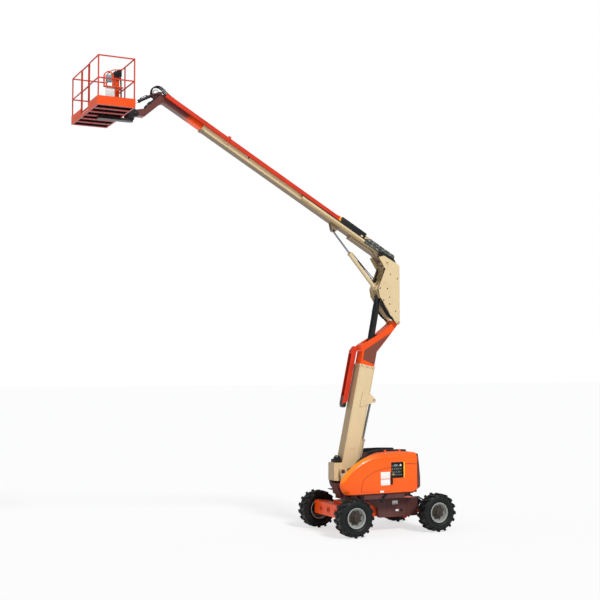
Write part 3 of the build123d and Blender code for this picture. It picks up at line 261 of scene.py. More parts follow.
PLAIN = (  # look, name, colour, roughness, dust, grain and its scale, drift of the colour and its scale
    ("cream_dark", "cream_shaded", (0.42, 0.3, 0.17), 0.5, 0.2, 0.1, 100, 0.12, 3),
    # maroon-brown, in part painted shade
    ("maroon", "maroon_paint", MAROON, 0.45, 0.25, 0.1, 120, 0.2, 3),
    ("dark", "dark_paint", (0.009, 0.01, 0.012), 0.42, 0.12, 0.1, 150, 0.25, 4),
    ("chrome", "rod_steel", (0.3, 0.31, 0.33), 0.22, 0.1, 0.03, 40, 0.1, 5),
    ("zinc", "zinc_bolt", (0.55, 0.54, 0.5), 0.35, 0.2, 0.1, 300, 0.15, 30),
    ("plastic", "black_plastic", (0.007, 0.008, 0.009), 0.48, 0, 0.25, 400, 0.2, 10),
    ("hose", "hose_rubber", (0.006, 0.0065, 0.007), 0.5, 0.06, 0.2, 300, 0.2, 20),
    ("plate", "blank_plate", (0.82, 0.8, 0.77), 0.35, 0.08, 0.05, 60, 0.05, 8),
    ("sheet_blue", "grey_blue_case", (0.2, 0.29, 0.33), 0.4, 0.1, 0.2, 120, 0.12, 8),
    ("yellow", "yellow_plate", (0.88, 0.55, 0.02), 0.4, 0.05, 0.05, 60, 0.06, 8),
    ("amber", "amber_paint", (0.93, 0.36, 0.02), 0.35, 0.08, 0.05, 60, 0.06, 8),
    ("hub", "hub_brown", (0.04, 0.028, 0.022), 0.55, 0.3, 0.2, 120, 0.25, 12),
    ("panel_face", "panel_face", (0.02, 0.024, 0.024), 0.35, 0.05, 0.1, 200, 0.2, 20),
    ("knob", "knob_grey", (0.35, 0.42, 0.33), 0.35, 0, 0.1, 200, 0.1, 40),
    ("seam", "seam_shadow", (0.22, 0.022, 0.002), 0.5, 0, 0.05, 80, 0.1, 3),
    ("deck", "deck_steel", (0.1, 0.06, 0.05), 0.5, 0.3, 0.2, 90, 0.2, 4),
    # ribs under the platform's floor: red darkened as painted shade
    ("rib", "rib_red", (0.34, 0.012, 0.009), 0.45, 0.15, 0.1, 90, 0.15, 3),
    ("engine", "engine_grey", (0.12, 0.12, 0.13), 0.5, 0.3, 0.3, 80, 0.3, 8),
)
METAL = {"chrome": 1.0, "zinc": 1.0, "engine": 0.3}     # looks that are metal, and how much


def make_materials():
    mats = {}
    for look, name, colour, rough, dust, grain, size, shift, scale in PLAIN:
        shade = Shade(name, colour, rough, METAL.get(look, 0.0), shift, scale)
        if dust:
            shade.dust(dust)
        mats[look] = shade.done(grain, size)

    hood = Shade("hood_orange", ORANGE, 0.3, shift=0.05, scale=1.1, coat=0.18)
    # painted shade: the hoods turn redder and darker towards the bottom
    hood.lay(hood.above(hood.along(DOWN), -1.35, 0.5), (0.9, 0.085, 0.004), 0.35)
    # painted highlight: a yellow-orange glow where the hoods' faces look up, forward and to the left
    glow = hood.along((0.6, 0.5, 0.62), source=hood.normal)
    hood.lay(hood.band(glow, 0.9, 1.2, 0.22), (1.0, 0.33, 0.015), 0.72)
    hood.dust(0.06, (0.55, 0.12, 0.03))
    mats["hood"] = hood.done(0.05, 50)

    steel = Shade("orange_steel", STEEL_ORANGE, 0.36, shift=0.09, scale=2.0, coat=0.2)
    steel.dust(0.16, ORANGE_DUST)
    steel.streaks(0.18, (0.45, 0.1, 0.03))
    mats["orange"] = steel.done(0.08, 90)

    red = Shade("red_orange_paint", RED, 0.42, shift=0.14, scale=2.5)
    red.dust(0.2, (0.25, 0.05, 0.03))
    mats["red"] = red.done(0.08, 90)

    cream = Shade("cream_paint", CREAM, 0.4, shift=0.05, scale=1.6, coat=0.1)
    # painted shade: faces that look forward, like the tower's front, and faces that look down are darker
    cream.lay(cream.facing((0.978, 0, 0.208), 0.75, 0.3), (0.27, 0.17, 0.095), 0.62)
    cream.lay(cream.facing(DOWN, 0.6, 0.3), (0.16, 0.1, 0.06), 0.7)
    cream.dust(0.1, CREAM_DUST)
    cream.streaks(0.16, (0.5, 0.38, 0.22))
    mats["cream"] = cream.done(0.06, 80)

    track = Shade("track_grey", (0.075, 0.085, 0.072), 0.5, shift=0.3, scale=14.0)
    track.lay(track.spots(track.noise(30.0, 2.0), 0.56, 0.64, 0.8), (0.36, 0.37, 0.3))
    mats["track"] = track.done(0.2, 200)

    rim = Shade("rim_grey", (0.27, 0.285, 0.27), 0.5, shift=0.15, scale=6.0)
    reach = rim.from_axle()
    rim.lay(rim.below(reach, 0.175, 0.03), (0.06, 0.048, 0.036))
    rim.lay(rim.above(reach, 0.232, 0.012), (0.44, 0.45, 0.41), 0.8)
    rim.dust(0.25, (0.12, 0.09, 0.06))
    mats["rim"] = rim.done(0.12, 140)

    tyre = Shade("tyre_rubber", (0.0042, 0.0052, 0.0056), 0.55, shift=0.25, scale=9.0, shine=0.28)
    reach = tyre.from_axle()
    tyre.lay(tyre.above(reach, 0.492, 0.006), (0.04, 0.036, 0.032), 0.4)
    # painted sheen: a faintly lighter, bluish band round each sidewall
    tyre.lay(tyre.band(reach, 0.35, 0.43, 0.05), (0.01, 0.013, 0.014), 0.35)
    tyre.dust(0.18, (0.05, 0.042, 0.034), 30.0)
    mats["tyre"] = tyre.done(0.4, 260)

    # telescoping head of the tower: brown side as painted shade, with an orange front flange, arm and lower
    # corner
    lean = math.radians(TOWER_LEAN)
    head = Shade("tower_head", STEEL_ORANGE, 0.36, shift=0.09, scale=2.0, coat=0.2)
    n = head.along((math.cos(lean), 0, math.sin(lean)), TOWER_PIN)
    s = head.along((-math.sin(lean), 0, math.cos(lean)), TOWER_PIN)
    flange = head.math("ADD", head.math("MULTIPLY", n, 0.67), head.math("MULTIPLY", s, 0.742))
    sides = head.above(head.math("ABSOLUTE", head.along((0, 1, 0), source=head.normal)), 0.7, 0.1)
    low = head.above(head.math("ADD", s, head.math("MULTIPLY", n, -0.2)), 3.02, 0.03)
    # painted shade: brown on the faces that look sideways
    brown = head.both(sides, head.above(n, -1.2, 0.1), low, head.below(flange, 2.385, 0.05),
                      head.below(n, -0.055, 0.02))
    head.lay(brown, (0.19, 0.05, 0.03))
    head.dust(0.16, ORANGE_DUST)
    mats["tower_head"] = head.done(0.08, 90)

    # telescoping main boom: orange near the collar, brown towards the nose as painted shade, with an orange top
    # edge
    rise = math.radians(BOOM_RISE)
    out, over = (math.cos(rise), 0, math.sin(rise)), (-math.sin(rise), 0, math.cos(rise))
    fly = Shade("main_fly", STEEL_ORANGE, 0.34, shift=0.09, scale=2.0, coat=0.25)
    u, v = fly.along(out, BOOM_ROOT), fly.along(over, BOOM_ROOT)
    wave = fly.math("MULTIPLY", fly.math("SUBTRACT", fly.noise(7.0, 4.0), 0.5), 0.35)
    # painted shade: brown towards the nose, with a wavering edge
    nose_shade = fly.above(fly.math("ADD", fly.math("ADD", u, wave), fly.math("MULTIPLY", v, 0.8)), 6.72, 0.3)
    fly.lay(nose_shade, (0.095, 0.036, 0.034), 0.95)
    fly.dust(0.15, (0.3, 0.08, 0.04))
    mats["main_fly"] = fly.done(0.08, 90)

    # platform floor: orange toe boards, red ribs below and dark bays between them; below the floor the bays,
    # the bracket and the ribs are darkened as painted shade
    floor = Shade("platform_floor", STEEL_ORANGE, 0.38, shift=0.08, scale=2.0, coat=0.15)
    z = floor.along((0, 0, 1))
    within = floor.below(floor.math("ABSOLUTE", floor.along((0, 1, 0))), 1.2185, 0.001)
    bay_shade = floor.both(floor.below(z, 10.461, 0.002), floor.above(z, 10.4015, 0.002), within,
                      floor.band(floor.along((1, 0, 0)), 7.1455, 8.0545, 0.001))
    floor.lay(bay_shade, (0.014, 0.005, 0.005))
    floor.lay(floor.below(z, 10.3995, 0.001), (0.02, 0.012, 0.012))
    floor.lay(floor.both(floor.facing(DOWN, 0.5, 0.2), floor.band(z, 10.3996, 10.4012, 0.0006)),
              (0.34, 0.012, 0.008))
    floor.dust(0.15, (0.2, 0.06, 0.04))
    mats["platform_floor"] = floor.done(0.1, 90)

    # trough below the push tube: cream wall, dark above it where the hoses lie, as painted shade in the gap
    # under the push tube
    trough = Shade("trough_cream", CREAM, 0.42, shift=0.06, scale=2.0)
    trough.lay(trough.above(trough.along(over, BOOM_ROOT), 0.176, 0.004), (0.016, 0.014, 0.012))
    trough.dust(0.12, CREAM_DUST)
    mats["trough"] = trough.done(0.08, 90)

    # first section of the main boom: cream with a darker band along its lower edge and darker faces that look
    # down, both painted shade
    base = Shade("boom_cream", CREAM, 0.42, shift=0.05, scale=1.8)
    base.lay(base.below(base.along(over, BOOM_ROOT), 0.096, 0.01), (0.15, 0.095, 0.055), 0.75)
    base.lay(base.facing(DOWN, 0.6, 0.3), (0.17, 0.115, 0.07), 0.7)
    base.dust(0.05, CREAM_DUST)
    mats["main_base"] = base.done(0.06, 80)

    # turntable: maroon, in part painted shade, with the nose of its side plates in cream where it stands beside
    # the tower's foot
    table = Shade("turntable_paint", MAROON, 0.45, shift=0.2, scale=3.0)
    front, high = table.above(table.along((1, 0, 0)), 1.02), table.above(table.along((0, 0, 1)), 1.345)
    table.lay(table.both(front, high), CREAM)
    table.dust(0.25)
    mats["turntable"] = table.done(0.1, 120)

    # console: orange stand under a black desk
    stand = Shade("console_stand", STEEL_ORANGE, 0.38, shift=0.08, scale=3.0)
    stand.lay(stand.above(stand.along((0, 0, 1)), 11.378, 0.002), (0.008, 0.009, 0.012))
    mats["console"] = stand.done(0.1, 120)
    return mats


MATS = make_materials()
LOOKS = {  # a record slot's look
    "orange_paint": "orange", "orange_shell": "hood", "maroon_cast": "maroon", "maroon_paint": "maroon",
    "cream_paint": "cream", "red_paint": "red", "dark_paint": "dark", "rim_paint": "rim", "tyre": "tyre",
    "rod_chrome": "chrome", "engine": "engine", "black_plastic": "plastic", "hose_rubber": "hose",
}
SLOTS = {look: slot for slot, look in LOOKS.items()}    # a look's record slot
SLOTS.update(zinc="rod_chrome", track="hose_rubber")
OWN = {  # nodes with a look of their own
    "tower_fly": "tower_head", "boom_fly": "main_fly", "platform_floor": "platform_floor",
    "hose_track": "track", "track_trough": "trough", "turntable_frame": "turntable", "boom_base": "main_base",
    "control_console": "console", "tower_lift_barrel": "cream",
}
slot_of = {s["node"]: s["material_slot"] for s in frame["record"]["subparts"]}
for name, obj in nodes.items():
    obj.data.materials.clear()
    obj.data.materials.append(MATS[OWN.get(name, LOOKS[slot_of[name]])])


# ---------------------------------------------------------------- mesh forms
WORLD = Matrix.Identity(4)


def side_frame(x, z, angle):
    """Frame in the side plane: its x runs at an angle above +X, its z square to it, its y is the machine's."""
    c, s = math.cos(math.radians(angle)), math.sin(math.radians(angle))
    return Matrix(((c, 0, -s, x), (0, 1, 0, 0), (s, 0, c, z), (0, 0, 0, 1)))


TOWER = side_frame(TOWER_PIN[0], TOWER_PIN[2], TOWER_LEAN)
# pins in the frame that carries them, then the frames above them
RAM_FOOT = Vector((0.74, 0, 1.02))                                          # turntable
RAM_EAR, LOW_SPOT = Vector((-0.596, 0, 2.008)), Vector((-0.87, 0, 4.205))   # tower
MAIN_FOOT, BOOM_SPOT = Vector((0.575, 0, 0.915)), Vector((0.34, 0, 1.61))   # upright
MAIN_EYE, SLAVE_FOOT = Vector((1.74, 0, -0.06)), Vector((7.666, 0, 0.093))  # boom
LOW_PIN = TOWER @ LOW_SPOT
BOOM_PIN = LOW_PIN + BOOM_SPOT
BOOM = side_frame(BOOM_PIN.x, BOOM_PIN.z, BOOM_RISE)
END_PIN = BOOM @ Vector((7.787, 0, -0.577))
UPRIGHT = side_frame(LOW_PIN.x, LOW_PIN.z, 0.0)
SWING_X = 0.25                      # axis of the turntable
SHARP, SHELL_SHARP = (math.radians(angle) for angle in (38, 24))    # edges over this stay crisp


def way_of(axis):
    """Direction of an axis: a vector, or 1 or -1 for the machine's left or right."""
    return Vector((0, axis, 0)) if isinstance(axis, int) else Vector(axis)


def around(step, first=0, last=360):
    """Cosine and sine of the angles from first to last, by a step in degrees."""
    for turn in range(first, last, step):
        yield math.cos(math.radians(turn)), math.sin(math.radians(turn))


def run(y, *spots):
    """Points of a line that stays at one y."""
    return [(x, y, z) for x, z in spots]


def across(spot, y):
    """A pin's point at some y."""
    return Vector((spot.x, y, spot.z))


def smooth_line(points, steps):
    """Points of a curve that passes smoothly through the given ones."""
    points = [Vector(p) for p in points]
    line = []
    for i in range(len(points) - 1):
        p0, p1, p2, p3 = (points[max(0, min(len(points) - 1, i + k))] for k in (-1, 0, 1, 2))
        for k in range(steps):
            t = k / steps
            line.append(0.5 * (2 * p1 + (p2 - p0) * t + (2 * p0 - 5 * p1 + 4 * p2 - p3) * t * t
                               + (3 * p1 - p0 - 3 * p2 + p3) * t ** 3))
    return line + [points[-1]]


class Piece:
    """One object gathered from many bevelled forms, each with its own finish."""

    def __init__(self, name, place=WORLD):
        self.name, self.place, self.bm, self.looks = name, place, bmesh.new(), []

    def _take(self, part, look, matrix=WORLD):
        if look not in self.looks:
            self.looks.append(look)
        for item in part.faces:
            item.material_index = self.looks.index(look)
            item.smooth = True
        bmesh.ops.recalc_face_normals(part, faces=part.faces)
        bmesh.ops.transform(part, matrix=self.place @ matrix, verts=part.verts)
        mesh = bpy.data.meshes.new("part")
        part.to_mesh(mesh)
        part.free()
        self.bm.from_mesh(mesh)
        bpy.data.meshes.remove(mesh)

    def box(self, a, b, look, bevel=0.004, turn=WORLD):
        """Box between two opposite corners, in any order."""
        part = bmesh.new()
        bmesh.ops.create_cube(part, size=1.0)
        a, b = Vector(a), Vector(b)
        size = Vector([abs(length) for length in b - a])
        bmesh.ops.scale(part, vec=size, verts=part.verts)
        bmesh.ops.bevel(part, geom=part.edges[:], offset=min(bevel, min(size) * 0.45), segments=2,
                        affect="EDGES", profile=0.5)
        self._take(part, look, Matrix.Translation((a + b) / 2) @ turn)

    def block(self, at, half, look, bevel, turn):
        """Turned box by its centre and half sizes."""
        self.box(at - Vector(half), at + Vector(half), look, bevel, turn)

    def plate(self, outline, low_y, high_y, look, bevel=0.003):
        """Plate in the side plane: an outline of x, z points between two y."""
        part = bmesh.new()
        face = part.faces.new([part.verts.new((x, low_y, z)) for x, z in outline])
        grown = bmesh.ops.extrude_face_region(part, geom=[face])["geom"]
        far = [v for v in grown if isinstance(v, bmesh.types.BMVert)]
        bmesh.ops.translate(part, vec=(0, high_y - low_y, 0), verts=far)
        bmesh.ops.recalc_face_normals(part, faces=part.faces)
        bmesh.ops.bevel(part, geom=part.edges[:], offset=bevel, segments=2, affect="EDGES", profile=0.5)
        self._take(part, look)

    def lathe(self, profile, at, axis, look, steps=32):
        """Profile of radius, height turned about an axis."""
        part = bmesh.new()
        rings = []
        for radius, height in profile:
            if radius < 1e-6:
                rings.append([part.verts.new((0, 0, height))] * steps)
                continue
            turns = [math.tau * i / steps for i in range(steps)]
            rings.append([part.verts.new((radius * math.cos(a), radius * math.sin(a), height)) for a in turns])
        for a, b in zip(rings, rings[1:]):
            for i in range(steps):
                j = (i + 1) % steps
                corners = list(dict.fromkeys((a[i], a[j], b[j], b[i])))
                if len(corners) > 2:
                    part.faces.new(corners)
        turn = way_of(axis).to_track_quat("Z", "Y").to_matrix().to_4x4()
        self._take(part, look, Matrix.Translation(Vector(at)) @ turn)

    def cap(self, at, axis, look, steps, radius, *rings):
        """Turned cap: the radius of its seat, then radius and height of the rings above it, up to its top."""
        self.lathe([(0, 0), (radius, 0), *rings], at, axis, look, steps)

    def rod(self, a, b, radius, look, steps=16):
        a, b = Vector(a), Vector(b)
        length = (b - a).length
        r = min(radius * 0.15, length * 0.2)
        self.lathe([(0, 0), (radius - r, 0), (radius, r), (radius, length - r), (radius - r, length),
                    (0, length)], a, b - a, look, steps)

    def ring(self, at, axis, major, minor, look, steps=32, sides=6):
        turns = [math.tau * i / sides for i in range(sides + 1)]
        self.lathe([(major + minor * math.cos(a), minor * math.sin(a)) for a in turns], at, axis, look, steps)

    def bolt(self, at, axis, size=0.012, look="zinc"):
        """Washer and hexagon head with a chamfered top."""
        self.cap(at, axis, look, 16, size * 1.5, (size * 1.5, size * 0.25), (0, size * 0.25))
        high = size * 0.95
        self.lathe([(0, size * 0.2), (size, size * 0.2), (size, high * 0.8), (size * 0.86, high), (0, high)],
                   at, axis, look, 6)

    def bolts(self, spots, axis, size, look="zinc"):
        for spot in spots:
            self.bolt(spot, axis, size, look)

    def pipe(self, points, radius, look, sides=8, smooth=6):
        """Round bead or pipe that follows a smooth line through points."""
        line = smooth_line(points, smooth)
        part = bmesh.new()
        rings = []
        up = (line[1] - line[0]).normalized().orthogonal().normalized()
        turns = [math.tau * k / sides for k in range(sides)]
        for i, point in enumerate(line):
            ahead = (line[min(i + 1, len(line) - 1)] - line[max(i - 1, 0)]).normalized()
            up = (up - ahead * up.dot(ahead)).normalized()
            across = ahead.cross(up)
            rings.append([part.verts.new(point + (up * math.cos(a) + across * math.sin(a)) * radius)
                          for a in turns])
        for a, b in zip(rings, rings[1:]):
            for k in range(sides):
                part.faces.new((a[k], a[(k + 1) % sides], b[(k + 1) % sides], b[k]))
        part.faces.new(rings[0][::-1])
        part.faces.new(rings[-1])
        self._take(part, look)

    def bead(self, points, radius, look):
        """Thin straight line, such as a weld or an edge."""
        self.pipe(points, radius, look, 6, 1)

    def hose(self, points, radius, smooth=6):
        self.pipe(points, radius, "hose", 8, smooth)

    def done(self, body, slot=None):
        mesh = bpy.data.meshes.new(self.name)
        self.bm.to_mesh(mesh)
        self.bm.free()
        mesh.set_sharp_from_angle(angle=SHARP)
        for look in self.looks:
            mesh.materials.append(MATS[look])
        obj = bpy.data.objects.new(self.name, mesh)
        bpy.context.collection.objects.link(obj)
        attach(obj, body)


# ---------------------------------------------------------------- wheels
def dress_wheel(name, x, sign):
    hub = Vector((x, sign * HUB_Y, HUB_Z))

    def spot(radius, turn, out):
        """Point on the wheel at a radius and turn, a distance out from its centre plane."""
        a = math.radians(turn)
        return hub + Vector((radius * math.sin(a), sign * out, radius * math.cos(a)))

    dress = Piece(f"wheel_dress_{name}")
    for out, radius, bead in ((0.146, 0.256, 0.0075), (0.128, 0.232, 0.006), (-0.146, 0.256, 0.0075)):
        dress.ring(spot(0, 0, out), sign, radius, bead, "rim", 48, 8)
    dress.lathe([(0.205, 0.0), (0.24, 0.03), (0.246, 0.05), (0.238, 0.05), (0.2, 0.012)],
                spot(0, 0, 0.056), sign, "rim", 48)
    dress.bolts([spot(0.146, turn, 0.0545) for turn in range(0, 360, 40)], sign, 0.0125, "hub")
    for turn in range(20, 380, 45):
        dress.cap(spot(0.19, turn, 0.0535), sign, "dark", 16, 0.021, (0.021, 0.0022), (0, 0.003))
    dress.bolts([spot(0.098, turn, 0.081) for turn in range(15, 375, 60)], sign, 0.008, "hub")
    dress.lathe([(0.079, 0.0), (0.084, 0.004), (0.084, 0.026), (0.072, 0.034), (0.045, 0.038), (0, 0.04)],
                spot(0, 0, 0.112), sign, "hub", 32)
    dress.cap(spot(0, 0, 0.15), sign, "hub", 16, 0.02, (0.017, 0.01), (0, 0.011))
    dress.bolts([spot(0.058, turn, 0.149) for turn in (90, 270)], sign, 0.007, "hub")
    dress.rod(spot(0.222, 65, 0.075), spot(0.214, 65, 0.118), 0.005, "plastic", 8)
    dress.done("wheel_" + name)

    bands = Piece(f"tyre_bands_{name}")
    for face in BOTH:
        for radius, wide in ((0.284, 0.0045), (0.343, 0.0035), (0.352, 0.0025), (0.398, 0.0035)):
            reach = 0.15 + (radius - 0.262) * 0.34 if radius < 0.333 else 0.1745
            bands.ring(spot(0, 0, face * reach), sign * face, radius, wide, "tyre", 56)
        for turn in range(0, 360, 12):
            bands.bead([spot(0.412, turn, face * 0.1738), spot(0.432, turn + 1.5, face * 0.1705)], 0.0028,
                       "tyre")
    bands.done("wheel_" + name, "tyre")


for end, x in (("fixed", AXLE_X), ("steer", -AXLE_X)):
    dress_wheel(end + "_left", x, 1)
    dress_wheel(end + "_right", x, -1)


# ---------------------------------------------------------------- chassis
beam = Piece("axle_dress")
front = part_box("fixed_axle")[1].x - 0.014
for y in (-0.43, 0.0, 0.43):
    eye = (front + 0.014, y, 0.59)
    beam.ring(eye, AHEAD, 0.062, 0.01, "orange", 32, 8)
    beam.cap(eye, AHEAD, "seam", 24, 0.046, (0.044, 0.0015), (0, 0.002))
    beam.bolts([(front, y + 0.086 * c, 0.59 + 0.086 * s) for c, s in around(60)], AHEAD, 0.007, "orange")
for z in (0.43, 0.75):
    beam.bead([(front - 0.002, -0.77, z), (front - 0.002, 0.77, z)], 0.0045, "orange")
for y in (-0.72, 0.72):
    beam.box((front - 0.1, y - 0.03, 0.757), (front - 0.03, y + 0.03, 0.776), "orange")
    beam.bolt((front - 0.065, y, 0.776), UP, 0.009)
for sign in BOTH:
    ends = [(AXLE_X + 0.118 * s, sign * 0.797, HUB_Z + 0.118 * c) for c, s in around(45)]
    beam.bolts(ends, sign, 0.009, "dark")
    beam.hose([(1.16, sign * 0.3, 0.765), (1.14, sign * 0.5, 0.772), (1.15, sign * 0.7, 0.765),
               (1.17, sign * 0.78, 0.62)], 0.009)
beam.done("chassis")

steer = Piece("steer_dress")
for sign in BOTH:
    for up in BOTH:
        z = HUB_Z + up * 0.108
        steer.lathe([(0.034, 0), (0.04, 0.004), (0.038, 0.012), (0.014, 0.016), (0, 0.017)],
                    (-AXLE_X, sign * 0.74, z - up * 0.004), (0, 0, up), "dark", 24)
        steer.cap((-AXLE_X, sign * 0.74, z + up * 0.012), (0, 0, up), "zinc", 8, 0.005, (0.004, 0.009),
                  (0, 0.011))
    steer.rod((-1.358, sign * 0.29, 0.562), (-1.358, sign * 0.44, 0.562), 0.017, "chrome")
    steer.rod((-1.358, sign * 0.285, 0.562), (-1.358, sign * 0.306, 0.562), 0.041, "dark", 24)
    steer.hose([(-1.33, sign * 0.2, 0.6), (-1.25, sign * 0.19, 0.66), (-1.13, sign * 0.16, 0.69),
                (-1.06, sign * 0.15, 0.62)], 0.009)
    spots = [(dx - AXLE_X, sign * y, 0.6) for y in (0.14, 0.32, 0.5) for dx in (0.06, -0.06)]
    steer.bolts(spots, UP, 0.01, "dark")
steer.done("chassis")

# valve block, its hoses and fittings at the steered end of the chassis
valves = Piece("chassis_valves")
valves.box((-1.1, 0.33, 0.66), (-0.97, 0.47, 0.8), "dark", 0.008)
valves.box((-1.07, 0.3, 0.8), (-0.99, 0.44, 0.85), "plastic", 0.008)
for k in range(4):
    y, z = 0.345 + k * 0.034, 0.7 + (k % 2) * 0.05
    valves.rod((-1.1, y, z), (-1.135, y, z), 0.011, "zinc", 6)
    valves.hose([(-1.135, y, z), (-1.18, y + 0.01, 0.69), (-1.2, y + 0.03, 0.62), (-1.16, y + 0.06, 0.56)],
                0.009)
for k in range(3):
    y = 0.44 + k * 0.03
    valves.hose([(-0.965, y, 0.82 - k * 0.02), (-1.03, y + 0.02, 0.86 - k * 0.03), (-1.13, y + 0.03, 0.8),
                 (-1.19, y + 0.02, 0.7), (-1.17, y - 0.02, 0.62)], 0.011)
valves.box((-1.125, 0.3, 0.6), (-1.1, 0.41, 0.69), "plate")
valves.done("chassis")

# side boxes: seams, blank plates, a socket, steps and bolts
for side, sign in (("left", 1), ("right", -1)):
    boxes = Piece(f"side_box_dress_{side}")
    y = sign * 0.54
    for x0, z0, x1, z1, look, thick in (
            (-0.345, 0.705, -0.185, 0.8, "plate", 0.004), (-0.335, 0.713, -0.262, 0.735, "sheet_blue", 0.005),
            (-0.25, 0.713, -0.197, 0.735, "sheet_blue", 0.005), (-0.375, 0.52, -0.285, 0.57, "plate", 0.004)):
        boxes.box((x0, y, z0), (x1, y + sign * thick, z1), look, 0.002)
    boxes.cap((-0.455, y, 0.545), sign, "plastic", 24, 0.036, (0.036, 0.01), (0.028, 0.012), (0.026, 0.006),
              (0, 0.005))
    boxes.bolt((-0.455, y + sign * 0.005, 0.545), sign, 0.01, "dark")
    boxes.bolts([(x, y, z) for x in (-0.93, -0.6, -0.1, 0.18) for z in (0.41, 0.8)], sign, 0.009, "maroon")
    for x in (-0.62, -0.02):
        boxes.bead(run(y, (x, 0.385), (x, 0.84)), 0.003, "dark")
    boxes.box((-0.955, y, 0.378), (0.2, y + sign * 0.003, 0.388), "seam", 0.002)
    boxes.done("chassis", "maroon_paint")

# hydraulic motor case, hard hoses and lashing eyes under the chassis
under = Piece("chassis_under")
under.rod((-0.2, 0, 0.4), (-0.2, 0, 0.365), 0.085, "dark", 32)
under.bolts([(-0.2 + 0.065 * c, 0.065 * s, 0.366) for c, s in around(60)], DOWN, 0.008)
for sign in BOTH:
    under.hose([(-0.95, sign * 0.12, 0.55), (-0.6, sign * 0.14, 0.44), (0.2, sign * 0.14, 0.43),
                (0.9, sign * 0.1, 0.5)], 0.011)
    for x in (-0.69, 0.69):
        under.ring((x, sign * 0.355, 0.345), 1, 0.026, 0.004, "orange", 24)
under.done("chassis")

teeth = Piece("swing_teeth")
for k in range(72):
    a = math.tau * k / 72
    at = Vector((SWING_X + 0.424 * math.cos(a), 0.424 * math.sin(a), 0.829))
    teeth.block(at, (0.01, 0.009, 0.024), "dark", 0.003, Matrix.Rotation(a, 4, "Z"))
for k in range(24):
    a = math.tau * (k + 0.5) / 24
    teeth.bolt((SWING_X + 0.375 * math.cos(a), 0.375 * math.sin(a), 0.8005), UP, 0.008)
teeth.done("chassis", "dark_paint")


# ---------------------------------------------------------------- turntable and hoods
def hood_dress(side, sign, panel):
    dress = Piece(f"hood_dress_{side}")
    low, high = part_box(f"hood_{side}")
    y, rear = (high.y if sign > 0 else low.y), low.x

    def seam(*spots, radius=0.0065):
        dress.pipe(run(y - sign * 0.001, *spots), radius, "seam")

    def flat(x0, z0, x1, z1, look, thick=0.003, bevel=0.0015):
        dress.box((x0, y, z0), (x1, y + sign * thick, z1), look, bevel)

    if panel:
        seam((0.965, 1.12), (0.95, 1.21), (0.926, 1.352), (0.837, 1.475), (0.57, 1.617), (0.3, 1.685),
             (0.075, 1.722))
        seam((-0.325, 1.788), (-0.5, 1.795), (rear + 0.01, 1.77))
        seam((0.965, 1.12), (0.6, 1.105), (0.1, 1.105), radius=0.004)
        flat(0.108, 1.43, 0.388, 1.605, "plate")
        flat(0.108, 1.262, 0.388, 1.412, "plate")
        flat(0.03, 1.272, 0.094, 1.59, "plastic", 0.018, 0.006)
        dress.box((0.046, y + 0.016, 1.4), (0.078, y + 0.034, 1.47), "plastic", 0.006)
        dress.cap((0.062, y + 0.017, 1.53), 1, "zinc", 16, 0.014, (0.012, 0.01), (0, 0.011))
        # frame round the ground control panel, its rear bar yellow
        flat(-0.333, 1.44, -0.301, 1.847, "yellow", 0.006)
        flat(-0.309, 1.831, 0.07, 1.847, "plastic", 0.005)
        flat(-0.309, 1.438, 0.07, 1.454, "plastic", 0.005)
        flat(0.056, 1.438, 0.072, 1.847, "plastic", 0.005)
    else:
        seam((0.6, 1.2), (0.55, 1.4), (0.3, 1.62), (-0.1, 1.74), (rear + 0.01, 1.77))
        for k in range(9):
            flat(-0.42 + k * 0.055, 1.3, -0.39 + k * 0.055, 1.58, "plastic", 0.004)
        flat(0.02, 1.28, 0.09, 1.42, "plastic", 0.018, 0.006)
    dress.bolts([(x, y, 1.085) for x in (-0.66, -0.25, 0.62)], sign, 0.008, "seam")
    if panel:
        flat(0.3, 1.078, 0.412, 1.128, "plate", 0.012, 0.004)
    dress.done(f"hood_{side}")


def swept(node, body, inner_nose, full_y, bow, look):
    """The shells of a node, the left one's inner front drawn back in plan, so it follows the tower's foot."""
    shape = bmesh.new()
    shape.from_mesh(nodes[node].data)
    shape.transform(nodes[node].matrix_world)
    start, nose, inner_y = 0.15, 1.525, 0.424   # where the sweep starts, the shells' front and inner side
    for vert in shape.verts:
        if vert.co.y < 0 or vert.co.x < start:
            continue
        w = min(1.0, max(0.0, (full_y - vert.co.y) / (full_y - inner_y)))
        reach = nose - start + w * (inner_nose - nose)
        t = (vert.co.x - start) / (nose - start)
        vert.co.x = start + reach * t ** (1.0 + bow * w)
    mesh = bpy.data.meshes.new(node + "_shell")
    shape.to_mesh(mesh)
    shape.free()
    if "custom_normal" in mesh.attributes:
        mesh.attributes.remove(mesh.attributes["custom_normal"])
    mesh.shade_smooth()
    mesh.set_sharp_from_angle(angle=SHELL_SHARP)
    mesh.materials.clear()
    mesh.materials.append(MATS[look])
    shell = bpy.data.objects.new(node + "_shell", mesh)
    bpy.context.collection.objects.link(shell)
    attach(shell, body)
    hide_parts(node)


swept("hood_left", "hood_left", 1.24, 0.8, 0.45, "hood")
swept("cowls", "turntable", 1.02, 0.43, 0.0, "plastic")
hood_dress("left", 1, True)
hood_dress("right", -1, False)

